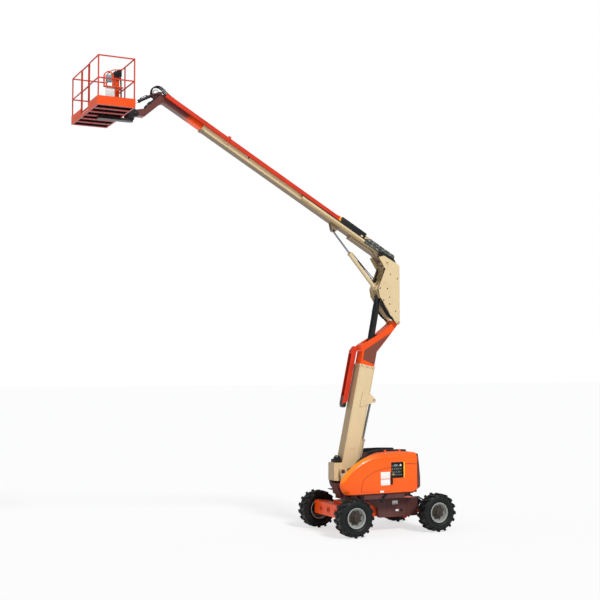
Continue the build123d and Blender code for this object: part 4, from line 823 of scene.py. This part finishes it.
panel = Piece("panel_dress")
face = 0.86
panel.box((-0.3, face - 0.002, 1.455), (0.055, face + 0.006, 1.83), "panel_face")
panel.box((-0.285, face + 0.004, 1.7), (0.035, face + 0.01, 1.8), "panel_face", 0.003)
for row, z in enumerate((1.745, 1.665, 1.585, 1.51)):
    for column in range(5):
        at = (-0.262 + column * 0.066, face + 0.006, z)
        if (row + column) % 3 == 0:
            panel.lathe([(0.012, 0), (0.015, 0.003), (0.012, 0.006), (0.009, 0.02), (0, 0.022)], at, 1, "knob",
                        16)
        else:
            panel.lathe([(0.013, 0), (0.013, 0.004), (0.006, 0.006), (0.005, 0.024), (0.003, 0.027),
                         (0, 0.028)], at, 1, "zinc", 12)
panel.lathe([(0.03, 0), (0.032, 0.006), (0.024, 0.01), (0.022, 0.026), (0, 0.03)], (-0.005, face + 0.006, 1.53),
            1, "yellow", 24)
panel.lathe([(0.026, 0), (0.028, 0.008), (0.024, 0.01), (0, 0.01)], (-0.24, face + 0.009, 1.765), 1, "plate",
            24)
panel.box((-0.15, face + 0.008, 1.735), (-0.04, face + 0.013, 1.79), "sheet_blue", 0.003)
panel.done("turntable", "black_plastic")

table = Piece("turntable_dress")
for sign in BOTH:
    y = sign * 0.885
    if sign > 0:  # travel lock lever and its plate
        table.box((0.18, y - 0.006, 0.985), (0.262, y + 0.034, 1.06), "plastic", 0.012)
        table.rod((0.225, y + 0.022, 1.035), (0.345, y + 0.03, 0.85), 0.021, "plastic")
        table.box((0.315, y - 0.004, 0.815), (0.385, y + 0.04, 0.905), "plastic", 0.014)
        table.rod((0.235, y + 0.016, 0.955), (0.33, y + 0.02, 0.975), 0.013, "plastic", 12)
    table.bolts([(x, y, 1.028) for x in (-0.55, -0.15, 0.15, 0.55, 0.9)], sign, 0.006, "maroon")
    table.bead(run(sign * 0.88, (-0.35, 0.915), (0.85, 0.915)), 0.005, "maroon")
    for x in (-0.05, 0.25, 0.55):
        table.box((x - 0.006, sign * 0.878, 0.91), (x + 0.006, sign * 0.884, 1.015), "maroon", 0.002)
for sign in BOTH:  # pins of the tower and its cylinder, with a keeper, and bolts of the side plates
    y = sign * 0.266
    table.cap((TOWER_PIN[0], y, TOWER_PIN[2]), sign, "maroon", 32, 0.052, (0.052, 0.008), (0.038, 0.012),
              (0.038, 0.02), (0, 0.022))
    table.box((1.085, y, 1.565), (1.115, y + sign * 0.01, 1.635), "maroon", 0.003)
    table.bolt((1.1, y + sign * 0.01, 1.6), sign, 0.009)
    table.cap(across(RAM_FOOT, y), sign, "maroon", 32, 0.048, (0.048, 0.008), (0.034, 0.012), (0, 0.014))
    table.bolts([(x, y, 0.95) for x in (0.95, 0.5, 0.0, -0.5)], sign, 0.01, "maroon")
    table.bead(run(sign * 0.262, (-0.75, 2.03), (0.37, 2.03)), 0.006, "maroon")
table.done("turntable", "maroon_paint")

# bolts, seams and slots of the cast weight
weight = Piece("weight_dress")
for sign in BOTH:
    for z in (1.32, 1.7):
        weight.bolts([(-0.838, sign * y, z) for y in (0.5, 0.74)], (-1, 0, 0), 0.016, "maroon")
    weight.bead([(-0.8385, sign * 0.3, 1.55), (-0.8385, sign * 0.86, 1.55)], 0.005, "maroon")
    # dark patch standing in for the slot in the weight: painted shade
    weight.box((-0.841, sign * 0.6 - 0.07, 1.225), (-0.834, sign * 0.6 + 0.07, 1.255), "dark", 0.003)
weight.done("turntable", "maroon_cast")

# dark patches standing in for the slots in the top covers: painted shade
covers = Piece("cover_slots")
for sign in BOTH:
    y = sign * 0.325
    for k in range(12):
        x = -0.6 + k * 0.06
        top = 2.131 if x > -0.3 else 2.131 - (-0.3 - x) * 0.03
        covers.box((x, y - 0.038, top - 0.004), (x + 0.022, y + 0.038, top + 0.001), "dark", 0.002)
    for x in (0.43, 0.15, -0.25, -0.68):
        covers.bolt((x - 0.02, sign * 0.372, 2.105 if x < 0.3 else 2.075), UP, 0.006, "dark")
covers.done("turntable", "black_plastic")


# ---------------------------------------------------------------- tower
foot = Piece("tower_foot_dress")
foot.box((1.13, -0.125, 1.822), (1.3, 0.14, 1.905), "plastic", 0.012)
foot.box((1.15, -0.085, 1.9), (1.245, 0.105, 1.96), "plastic", 0.012)
foot.rod((1.28, 0.12, 1.84), (1.28, 0.12, 1.935), 0.022, "plastic")
foot.hose([(1.27, -0.06, 1.875), (1.2, -0.06, 1.985), (1.12, -0.05, 1.965), (1.11, -0.05, 1.9)], 0.012)
foot.hose([(1.28, 0.03, 1.875), (1.22, 0.04, 1.985), (1.125, 0.05, 1.955), (1.12, 0.05, 1.88)], 0.012)
for sign in BOTH:
    y = sign * 0.16
    foot.bolts(run(y, (1.32, 1.4), (1.32, 1.78), (1.22, 1.4)), sign, 0.008, "cream")
    foot.bead(run(y, (1.205, 1.352), (1.207, 1.6), (1.207, 1.815)), 0.0035, "cream_dark")
    foot.bead(run(y, (1.352, 1.365), (1.352, 1.8)), 0.005, "cream")
for z in (1.385, 1.77):
    foot.box((1.3565, -0.15, z), (1.3605, 0.15, z + 0.015), "cream", 0.002)
foot.done("tower_base", "cream_paint")

tower = Piece("tower_dress", TOWER)
for sign in BOTH:
    y, ear = sign * 0.16, sign * 0.178
    # weld lines along the corners and round the ears
    tower.bead(run(y, (-0.012, -0.05), (-0.012, 2.8)), 0.0045, "cream")
    tower.bead(run(y, (-0.428, 0.32), (-0.428, 2.8)), 0.0045, "cream_dark")
    tower.bead(run(y * 1.06, (-0.22, 1.755), (-0.42, 1.87), (-0.56, 1.955)), 0.004, "cream_dark")
    tower.ring(across(RAM_EAR, ear), sign, 0.036, 0.006, "cream")
    tower.cap(across(RAM_EAR, ear), sign, "zinc", 24, 0.03, (0.028, 0.006), (0, 0.007))
    tower.bolts(run(ear, (-0.28, 2.128), (-0.3, 1.906), (-0.4, 2.128), (-0.4, 2.02)), sign, 0.01, "cream")
    # wear pads and bolts of the mouth collar
    for n in (-0.38, -0.22, -0.06):
        tower.box((n - 0.035, sign * 0.168, 2.835), (n + 0.035, sign * 0.18, 2.872), "cream", 0.003)
        tower.bolts([(n + k, sign * 0.18, 2.853) for k in (-0.018, 0.018)], sign, 0.006)
    tower.box((-0.3, y, 0.62), (-0.16, y + sign * 0.003, 0.7), "cream", 0.002)
for y in (-0.11, 0.11):
    tower.box((0.018, y - 0.03, 2.835), (0.028, y + 0.03, 2.872), "cream", 0.003)
    tower.bolt((0.028, y, 2.853), AHEAD, 0.006)
tower.done("tower_base", "cream_paint")

# telescoping head: edge beads, pin rings and the stiffeners of the flange on the elbow's front
head = Piece("tower_head_dress", TOWER)
for sign in BOTH:
    y = sign * 0.145
    head.pipe(run(y, (-0.01, 3.21), (0.052, 3.245), (0.054, 3.372), (-0.425, 3.79), (-0.76, 4.18)), 0.006,
              "orange", 6, 2)
    head.pipe(run(y, (-0.436, 3.3), (-0.66, 3.69), (-0.915, 4.165)), 0.006, "orange", 6, 2)
    head.ring(across(LOW_SPOT, sign * 0.1455), sign, 0.06, 0.006, "orange")
    head.bolts(run(y, (-0.06, 3.37), (-0.2, 3.48), (-0.33, 3.6)), sign, 0.009, "orange")
for low_y, high_y in ((0.143, 0.1485), (-0.1485, -0.143)):
    head.plate([(-0.012, 3.375), (-0.43, 3.742), (-0.43, 3.8), (0.052, 3.382)], low_y, high_y, "orange", 0.002)
head.done("tower_fly", "orange_paint")

carrier = Piece("carrier_dress", TOWER)
for y, far in ((-0.235, -0.238), (-0.07, -0.067)):
    carrier.box((0.188, y, 1.8), (0.2, far, 3.19), "red", 0.002)
    carrier.box((0.062, y, 1.86), (0.074, far, 3.32), "red", 0.002)
    for s in (1.95, 2.35, 2.75, 3.1):
        carrier.box((0.074, y, s), (0.19, far, s + 0.012), "red", 0.002)
# links of the hose track inside the carrier, and the hoses it leads
for k in range(26):
    s = 1.86 + k * 0.048
    carrier.box((0.08, -0.215, s), (0.122, -0.088, s + 0.038), "track", 0.005)
    carrier.box((0.088, -0.205, s + 0.008), (0.124, -0.098, s + 0.03), "plastic")
for k in range(4):
    carrier.hose(run(-0.205 + k * 0.028, (0.12, 3.09), (0.122, 3.18), (0.112, 3.265), (0.078, 3.315)), 0.011, 4)
carrier.done("tower_fly", "red_paint")

bend = Piece("tower_track_links", TOWER)
for k in range(9):
    a = math.radians(180 + k * 22.5)
    at = Vector((0.132 + 0.05 * math.cos(a), -0.1525, 1.72 + 0.05 * math.sin(a)))
    bend.block(at, (0.012, 0.0705, 0.009), "track", 0.003, Matrix.Rotation(-a, 4, "Y"))
for k in range(5):
    for n in (0.092, 0.172):
        s = 1.735 + k * 0.048
        bend.box((n - 0.022, -0.2225, s), (n + 0.022, -0.0825, s + 0.036), "track")
        for y, axis in ((-0.2235, -1), (-0.0825, 1)):
            bend.cap((n, y, s + 0.018), axis, "dark", 10, 0.008, (0.007, 0.003), (0, 0.0035))
bend.done("tower_fly", "hose_rubber")

# lift cylinder of the tower: gland, port and hard line
ram = Piece("tower_ram_dress")
base = RAM_FOOT
way = (TOWER @ RAM_EAR - base).normalized()
side = Vector((0, 1, 0))
ram_end = base + way * 1.43
for k in range(3):
    ram.ring(ram_end - way * (0.008 + 0.016 * k), way, 0.073, 0.003, "dark")
ram.bolts([ram_end + (side * c + way.cross(side) * s) * 0.052 for c, s in around(60)], way, 0.007)
port = base + way * 0.12
ram.box(port + Vector((-0.03, 0.055, -0.03)), port + Vector((0.03, 0.095, 0.03)), "dark", 0.006)
ram.pipe([base + way * u + side * y for u, y in ((0.12, 0.088), (0.5, 0.082), (1.3, 0.082), (1.36, 0.06))],
         0.007, "zinc")
ram.done("tower_lift_barrel", "dark_paint")


# ---------------------------------------------------------------- upright
post = Piece("upright_dress", UPRIGHT)
EDGE = [(0.118, 0.04), (0.575, 0.7), (0.612, 0.915), (0.395, 1.44), (0.6, 1.75), (0.44, 1.795), (0.06, 1.6),
        (-0.035, 1.53), (-0.035, 0.02), (0.0, -0.058), (0.06, -0.03)]
for sign in BOTH:
    y = sign * 0.2555
    for a, b in zip(EDGE, EDGE[1:] + EDGE[:1]):
        post.bead(run(y, a, b), 0.0042, "cream")
    pins = ((0, 0, 0.05), (BOOM_SPOT.x, BOOM_SPOT.z, 0.054), (MAIN_FOOT.x, MAIN_FOOT.z, 0.03),
            (0.464, 0.6, 0.026))
    for x, z, size in pins:
        post.cap((x, y, z), sign, "cream", 28, size, (size, 0.006), (size * 0.72, 0.01), (size * 0.7, 0.018),
                 (0, 0.02))
        post.bolt((x, y + sign * 0.019, z), sign, 0.01, "dark")
    post.bolts(run(y, (0.338, 0.907), (0.276, 0.679), (0.278, 0.489), (0.24, 1.3), (0.09, 0.3), (0.03, 1.18)),
               sign, 0.011, "dark")
    post.cap((0.385, y, 1.085), sign, "cream", 28, 0.04, (0.04, 0.004), (0.03, 0.007), (0, 0.007))
    post.box((0.05, y, -0.01), (0.085, y + sign * 0.012, 0.03), "cream", 0.003)
for z in (0.62, 0.86, 1.1, 1.34):
    post.bolts([(-0.035, y, z) for y in (-0.19, 0.19)], (-1, 0, 0), 0.011, "cream")
# hoses that climb between the plates, clipped to the cross tube and the pins
for y, step in ((-0.232, 0.0), (-0.206, 0.035), (-0.182, 0.06), (0.232, 0.01), (0.206, 0.04), (0.182, 0.065)):
    post.hose(run(y, (0.075 + step * 0.4, 0.05), (0.22 + step, 0.16), (0.345 + step, 0.32),
                  (0.445 + step, 0.47), (0.43 + step * 0.5, 0.62)), 0.019, 4)
for k, y in enumerate((-0.215, -0.185, 0.187, 0.217)):
    post.hose([(0.33, y, 0.62), (0.47, y, 0.86), (0.5 + 0.01 * (k % 2), y, 1.02), (0.452, y, 1.2),
               (0.405, y * 0.97, 1.36), (0.392, y * 0.93, 1.47)], 0.018, 4)
post.box((0.428, -0.232, 1.16), (0.492, -0.166, 1.196), "dark", 0.005)
post.box((0.428, 0.166, 1.16), (0.492, 0.235, 1.196), "dark", 0.005)
post.done("upright", "cream_paint")


# ---------------------------------------------------------------- rams of the boom
def ram_dress(name, base, eye, length, radius, rod, look, spread=0.0, upright=1.0):
    """Gland rings, ports and hard lines of a ram, on its barrel, in a frame whose x runs to the rod's eye."""
    angle = math.degrees(math.atan2(eye.z - base.z, eye.x - base.x))
    piece = Piece(name, side_frame(base.x, base.z, angle))
    for y in ((spread, -spread) if spread else (0.0,)):
        for k in range(3):
            piece.ring((length - 0.006 - 0.015 * k, y, 0), AHEAD, radius + 0.006, 0.0028, look)
        piece.ring((length + 0.002, y, 0), AHEAD, rod + 0.008, 0.005, "dark", 24)
        reach = (radius + rod) * 0.55
        piece.bolts([(length, y + reach * c, reach * s) for c, s in around(60)], AHEAD,
                    min(0.007, radius * 0.12))
        piece.ring((0.075, y, 0), AHEAD, radius, 0.004, look)
        line_y = y + (0.01 if y >= 0 else -0.01)
        over = (radius + 0.011) * upright
        low = over * 0.72
        for u in (0.12, length - 0.09):
            piece.box((u - 0.02, line_y - 0.016, low - 0.014), (u + 0.02, line_y + 0.016, low + 0.024), look)
        piece.pipe(run(line_y, (0.12, over + 0.006), (0.2, over + 0.014), (length * 0.5, over + 0.01),
                       (length - 0.16, over + 0.01), (length - 0.09, over)), radius * 0.16 + 0.002, "dark", 8,
                   4)
        for u in (0.3, 0.62, 0.9):
            if u < length - 0.2:
                piece.box((u - 0.009, line_y - 0.018, radius * upright - 0.004),
                          (u + 0.009, line_y + 0.018, over + 0.02), "dark", 0.002)
    return piece


ram = ram_dress("main_ram_dress", LOW_PIN + MAIN_FOOT, BOOM @ MAIN_EYE, 1.225, 0.055, 0.026, "cream")
ram.box((1.1, -0.05, 0.045), (1.19, 0.05, 0.075), "cream", 0.006)
ram.hose([(0.17, 0.03, 0.075), (0.26, 0.036, 0.115), (0.5, 0.034, 0.1), (0.8, 0.03, 0.082),
          (1.05, 0.026, 0.072)], 0.01)
ram.hose([(0.15, -0.03, 0.075), (0.3, -0.036, 0.105), (0.6, -0.034, 0.095), (0.9, -0.03, 0.078)], 0.01)
ram.done("main_lift_barrel", "cream_paint")

base, eye = LOW_PIN + Vector((0.49, 0, 0.695)), TOWER @ Vector((-0.28, 0, 2.33))
ram = ram_dress("level_ram_dress", base, eye, 1.27, 0.051, 0.024, "dark", 0.057, -1.0)
for sign in BOTH:
    ram.hose([(0.1, sign * 0.104, 0.03), (0.25, sign * 0.107, 0.036), (0.65, sign * 0.106, 0.034),
              (1.05, sign * 0.106, 0.034), (1.22, sign * 0.104, 0.028)], 0.011)
    ram.hose(run(sign * 0.03, (0.16, 0.05), (0.4, 0.056), (0.8, 0.054), (1.15, 0.05)), 0.011)
    ram.box((0.34, sign * 0.055 - 0.03, 0.046), (0.44, sign * 0.055 + 0.03, 0.066), "dark")
ram.box((0.03, -0.112, -0.056), (0.075, 0.112, 0.056), "dark", 0.012)
ram.box((1.205, -0.116, -0.06), (1.262, 0.116, 0.06), "dark", 0.01)
ram.done("level_barrel", "dark_paint")

ram = ram_dress("slave_ram_dress", BOOM @ SLAVE_FOOT, END_PIN + Vector((0.06, 0, 0.25)), 0.39, 0.036, 0.016,
                "dark")
ram.done("slave_barrel", "dark_paint")


# ---------------------------------------------------------------- main boom
boom = Piece("boom_dress", BOOM)
for sign in BOTH:
    y = sign * 0.12
    for u, v in ((0.55, 0.083), (0.1, 0.323)):
        boom.bead(run(y, (u, v), (6.1, v)), 0.005, "cream")
    boom.bead(run(y, (0.58, 0.133), (3.0, 0.133), (6.1, 0.133)), 0.0028, "cream_dark")
    # pads and screws of the collar at the mouth
    for v in (0.13, 0.27):
        pad = y + sign * 0.022
        boom.box((6.128, y, v - 0.032), (6.182, pad, v + 0.032), "cream")
        boom.bolts([(u, pad, v + w) for u in (6.142, 6.168) for w in (-0.015, 0.015)], sign, 0.006)
    # pin bosses and keepers of the root
    boom.ring((0.0, sign * 0.133, 0.0), sign, 0.07, 0.006, "cream")
    boom.cap(across(MAIN_EYE, sign * 0.064), sign, "dark", 24, 0.032, (0.03, 0.01), (0, 0.012))
    boom.pipe(run(sign * 0.1335, (-0.05, 0.268), (0.25, 0.2), (0.56, 0.138), (0.52, 0.078)), 0.004,
              "cream_dark", 6, 2)
for u in (0.3, 0.62, 0.94, 1.2):
    for sign in BOTH:
        boom.bolt((u, sign * 0.105, 0.045), sign, 0.007, "cream")
for y in (-0.07, 0.0, 0.07):
    boom.box((6.128, y - 0.028, 0.338), (6.182, y + 0.028, 0.3485), "cream", 0.003)
    boom.bolt((6.155, y, 0.3485), UP, 0.006)
# cover over the tail of the push tube, on stand-offs from the boom
boom.box((0.895, 0.1215, 0.34), (1.735, 0.2035, 0.356), "plastic", 0.006)
boom.box((0.895, 0.1965, 0.192), (1.735, 0.204, 0.352), "plastic", 0.003)
boom.box((0.9, 0.12, 0.318), (1.73, 0.126, 0.35), "plastic", 0.002)
for u in (1.00, 1.27, 1.54):
    boom.bolt((u, 0.204, 0.3), 1, 0.008, "dark")
    boom.bolt((u, 0.16, 0.356), UP, 0.008, "dark")
    boom.box((u - 0.004, 0.2035, 0.2), (u + 0.004, 0.2065, 0.345), "plastic", 0.001)
boom.box((0.97, 0.1975, 0.195), (1.03, 0.2075, 0.245), "cream", 0.003)
# clamp round the push tube and small tabs along the trough; the dark one on the boom's side is painted shade
# standing in for a notch
boom.bolts([(u, 0.16, 0.35) for u in (5.44, 5.49)], UP, 0.009, "dark")
boom.box((5.43, 0.1215, 0.337), (5.5, 0.201, 0.35), "red")
boom.box((5.43, 0.1955, 0.2), (5.5, 0.2015, 0.35), "red", 0.003)
boom.box((4.735, 0.1205, 0.176), (4.775, 0.1275, 0.204), "dark", 0.002)
boom.bolts([(u, 0.2003, 0.165) for u in (1.3, 1.8, 2.3, 2.8)], 1, 0.007, "cream")
# hoses at the root, from the track down into the upright
for y, lift in ((0.212, 0.0), (0.206, -0.036), (0.21, 0.034)):
    boom.hose([(0.33, y, 0.1 + lift), (0.187, y, 0.132 + lift), (0.02, y + 0.006, 0.152 + lift),
               (-0.14, y + 0.006, 0.162 + lift * 0.8), (-0.235, y, 0.12 + lift * 0.4),
               (-0.255, y - 0.01, 0.02)], 0.0175, 5)
boom.done("boom_base", "cream_paint")

# links of the folded track at the root
links = Piece("boom_track_links", BOOM)
for k in range(18):
    u = -0.052 + k * 0.0485
    for v in ((0.134, 0.262) if u <= 0.7 else (0.134,)):
        links.box((u, 0.1865, v), (u + 0.042, 0.1935, v + 0.04), "track", 0.003)
        links.cap((u + 0.021, 0.1935, v + 0.02), 1, "plate" if k % 4 == 1 else "dark", 10, 0.009,
                  (0.008, 0.003), (0, 0.0035))
    if u < 0.7:
        links.box((u, 0.134, 0.2985), (u + 0.042, 0.187, 0.309), "track")
        links.cap((u + 0.021, 0.16, 0.309), UP, "plate" if k % 3 == 0 else "dark", 10, 0.007, (0.006, 0.003),
                  (0, 0.0035))
    if 0.0 < u < 0.8:
        links.pipe(run(0.1885, (u, 0.2), (u + 0.048, 0.204)), 0.01, "hose", 6, 1)
for k in range(7):
    a = math.radians(100 + k * 27)
    at = Vector((-0.06 + 0.086 * math.cos(a), 0.19, 0.215 + 0.086 * math.sin(a)))
    links.block(at, (0.016, 0.0035, 0.02), "track", 0.003, Matrix.Rotation(-a, 4, "Y"))
links.done("boom_base", "hose_rubber")

nose = Piece("nose_dress", BOOM)
for sign in BOTH:
    y = sign * 0.102
    nose.bead(run(y, (7.16, 0.301), (7.4, 0.301), (7.51, 0.181), (7.66, -0.332), (7.85, -0.504)), 0.0055,
              "maroon")
    nose.bead(run(y, (7.16, 0.093), (7.32, 0.093), (7.39, 0.023), (7.57, -0.503)), 0.005, "maroon")
    nose.bolts(run(y, (7.24, 0.25), (7.24, 0.15), (7.4, 0.1), (7.62, -0.38)), sign, 0.009, "maroon")
    nose.ring(across(SLAVE_FOOT, sign * 0.0625), sign, 0.024, 0.005, "maroon", 24)
# hoses over the nose and down the front of the gooseneck
for k in range(4):
    y, lift = -0.072 + k * 0.048, 0.016 * (k % 2)
    near = y * 0.8
    nose.hose([(7.13, y, 0.318), (7.2, y, 0.326 + lift), (7.37, y, 0.345 + lift), (7.52, near, 0.385 + lift),
               (7.655, near, 0.365 + lift), (7.735, near, 0.275), (7.72, near, 0.17), (7.65, y, 0.06)], 0.0135,
              5)
    nose.hose(run(y, (7.535, 0.175), (7.578, 0.02), (7.63, -0.14), (7.655, -0.225), (7.64, -0.29)), 0.0125, 5)
nose.ring((7.6, -0.085, 0.255), 1, 0.07, 0.01, "zinc", 32, 8)
nose.box((7.17, -0.095, 0.303), (7.215, 0.095, 0.356), "dark", 0.006)
nose.box((7.59, -0.09, -0.12), (7.645, 0.09, -0.085), "dark")
nose.done("boom_fly", "maroon_paint")

tube = Piece("push_tube_dress", BOOM)
tube.box((1.745, 0.1325, 0.307), (1.86, 0.189, 0.333), "amber", 0.008)
tube.box((1.745, 0.1325, 0.215), (1.803, 0.1885, 0.33), "amber", 0.006)
for v in (0.213, 0.307):
    tube.bead(run(0.1894, (1.85, v), (5.0, v), (7.36, v)), 0.003, "red")
tube.bolts(run(0.1893, (7.24, 0.262), (7.33, 0.262), (7.24, 0.232), (7.33, 0.232)), 1, 0.008, "orange")
for k in range(3):
    y = 0.14 + 0.018 * k
    tube.hose([(7.385, y, 0.25), (7.45, y - 0.01, 0.262), (7.53, y - 0.03, 0.255), (7.6, y - 0.055, 0.195),
               (7.625, y - 0.075, 0.09)], 0.009)
tube.done("boom_fly", "red_paint")


# ---------------------------------------------------------------- platform
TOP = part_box("platform_rails")[1].z - 0.017
MID = FLOOR + (TOP - FLOOR) * 0.52
REAR, FRONT = 7.168, 8.032
platform = Piece("platform_dress")
for k in range(20):
    y = -1.17 + k * 0.1232
    platform.box((7.16, y - 0.004, 10.4605), (8.04, y + 0.004, 10.4635), "deck", 0.001)
for k in range(8):
    x = 7.2 + k * 0.1145
    platform.box((x - 0.003, -1.2, 10.4602), (x + 0.003, 1.2, 10.4628), "deck", 0.001)
for y in (1.2155, -1.2155):
    platform.bead(run(y, (7.15, 10.606), (8.05, 10.606)), 0.004, "orange")
for y in (-1.15, -0.75, -0.38, 0.0, 0.45, 0.8, 1.15):
    platform.bolts(run(y, (7.1445, 10.5), (7.1445, 10.585)), (-1, 0, 0), 0.007, "orange")
# pressed ribs under the floor, their red darkened as painted shade
for k in range(7):
    y = -1.2 + k * 0.4
    platform.box((7.17, max(-1.19, y - 0.075), 10.402), (8.03, min(1.19, y + 0.075), 10.408), "rib", 0.002)
# feet and clips of the posts
for x, y in ((FRONT, 1.197), (REAR, 1.197), (REAR, -1.197), (FRONT, -1.197), (FRONT, 0.4), (FRONT, -0.32),
             (REAR, 0.42), (REAR, -0.42)):
    for z in (MID, 10.475):
        platform.ring((x, y, z), UP, 0.0175, 0.005, "orange", 20)
# hoop with a small tray beside the console, and the papers' holder
for y in (0.415, 0.485):
    platform.pipe(run(y, (7.475, MID + 0.02), (7.47, MID + 0.23), (7.5, MID + 0.325), (7.58, MID + 0.365),
                      (7.66, MID + 0.325), (7.69, MID + 0.23), (7.685, MID + 0.02)), 0.011, "orange")
platform.box((7.225, 0.086, MID - 0.01), (7.285, 0.5, MID + 0.018), "orange", 0.006)
platform.box((7.255, 0.4, MID - 0.01), (7.7, 0.5, MID + 0.018), "orange", 0.008)
platform.box((7.495, 0.412, MID + 0.11), (7.65, 0.488, MID + 0.29), "sheet_blue", 0.022)
platform.box((7.43, 0.435, MID - 0.4), (7.65, 0.46, MID - 0.01), "plate", 0.008)
# guard bar over the console
bar = [(7.175, 0.3, TOP - 0.02), (7.3, 0.29, TOP - 0.045), (7.42, 0.25, TOP - 0.055)]
platform.pipe([(x, -y, z) for x, y, z in bar] + [(7.44, 0.0, TOP - 0.055)] + bar[::-1], 0.012, "orange", 8, 5)
platform.done("platform", "orange_paint")

desk = Piece("console_dress")
top = TOP - 0.18
FACE = (0.46, 0, 0.89)     # way the desk's face looks
desk.box((7.18, -0.197, top + 0.004), (7.19, 0.197, top + 0.18), "plastic")
for y in (-0.13, 0.12):
    desk.lathe([(0.03, 0), (0.031, 0.005), (0.02, 0.014), (0.011, 0.02), (0.011, 0.032), (0.017, 0.036),
                (0.014, 0.043), (0, 0.044)], (7.265, y, top + 0.148), FACE, "plastic", 20)
for k in range(7):
    at = (7.315 + 0.02 * (k % 2), -0.06 + k * 0.022, top + 0.128 - 0.01 * (k % 2))
    desk.lathe([(0.008, 0), (0.008, 0.003), (0.004, 0.005), (0.0035, 0.02), (0, 0.022)], at, FACE, "zinc", 10)
desk.lathe([(0.02, 0), (0.022, 0.006), (0.016, 0.01), (0.016, 0.022), (0, 0.026)], (7.33, 0.155, top + 0.122),
           FACE, "red", 20)
desk.box((7.208, -0.088, 10.6), (7.214, 0.088, TOP - 0.21), "orange", 0.003)
for sign in BOTH:
    y = sign * 0.086
    desk.box((7.225, y, 10.62), (7.285, y + sign * 0.004, 10.7), "plate", 0.002)
    desk.bolts([(7.255, y, z) for z in (10.5, 10.9)], sign, 0.008, "orange")
desk.box((7.37, -0.33, 10.465), (7.53, -0.13, 10.505), "plastic", 0.008)
desk.box((7.39, -0.31, 10.5), (7.51, -0.15, 10.53), "yellow", 0.008)
desk.hose([(7.37, -0.22, 10.49), (7.31, -0.2, 10.475), (7.29, -0.1, 10.5), (7.275, -0.088, 10.62)], 0.008)
desk.hose([(7.19, 0.02, top + 0.02), (7.15, 0.02, top - 0.02), (7.14, 0.03, 10.95), (7.142, 0.04, 10.63),
           (7.138, 0.05, 10.45)], 0.013)
desk.hose([(7.19, -0.03, top + 0.02), (7.15, -0.02, top - 0.04), (7.14, -0.01, 10.95), (7.142, 0.00, 10.63),
           (7.138, 0.00, 10.45)], 0.013)
desk.done("platform", "black_plastic")

gate = Piece("gate_dress")
gate.box((8.046, -0.245, TOP - 0.085), (8.054, -0.185, TOP - 0.015), "orange")
gate.rod((8.043, -0.215, TOP - 0.03), (8.043, -0.275, TOP - 0.03), 0.01, "zinc", 12)
gate.bolts([(8.045, 0.335, z) for z in (MID - 0.3, MID + 0.25)], AHEAD, 0.006, "orange")
gate.done("platform_gate", "orange_paint")

arm = Piece("support_dress")
for sign in BOTH:
    y = sign * 0.1345
    arm.cap((END_PIN.x, y, END_PIN.z), sign, "dark", 28, 0.044, (0.044, 0.006), (0.032, 0.01), (0, 0.011))
    arm.box((END_PIN.x - 0.055, y - sign * 0.006, END_PIN.z - 0.018),
            (END_PIN.x - 0.035, y + sign * 0.004, END_PIN.z + 0.018), "dark", 0.002)
for c, s in around(40, 20, 340):
    if c > -0.3:
        arm.bolt((6.93 + 0.125 * c, 0.125 * s, FLOOR), (c, s, 0), 0.007, "dark")
arm.done("platform_support", "maroon_paint")
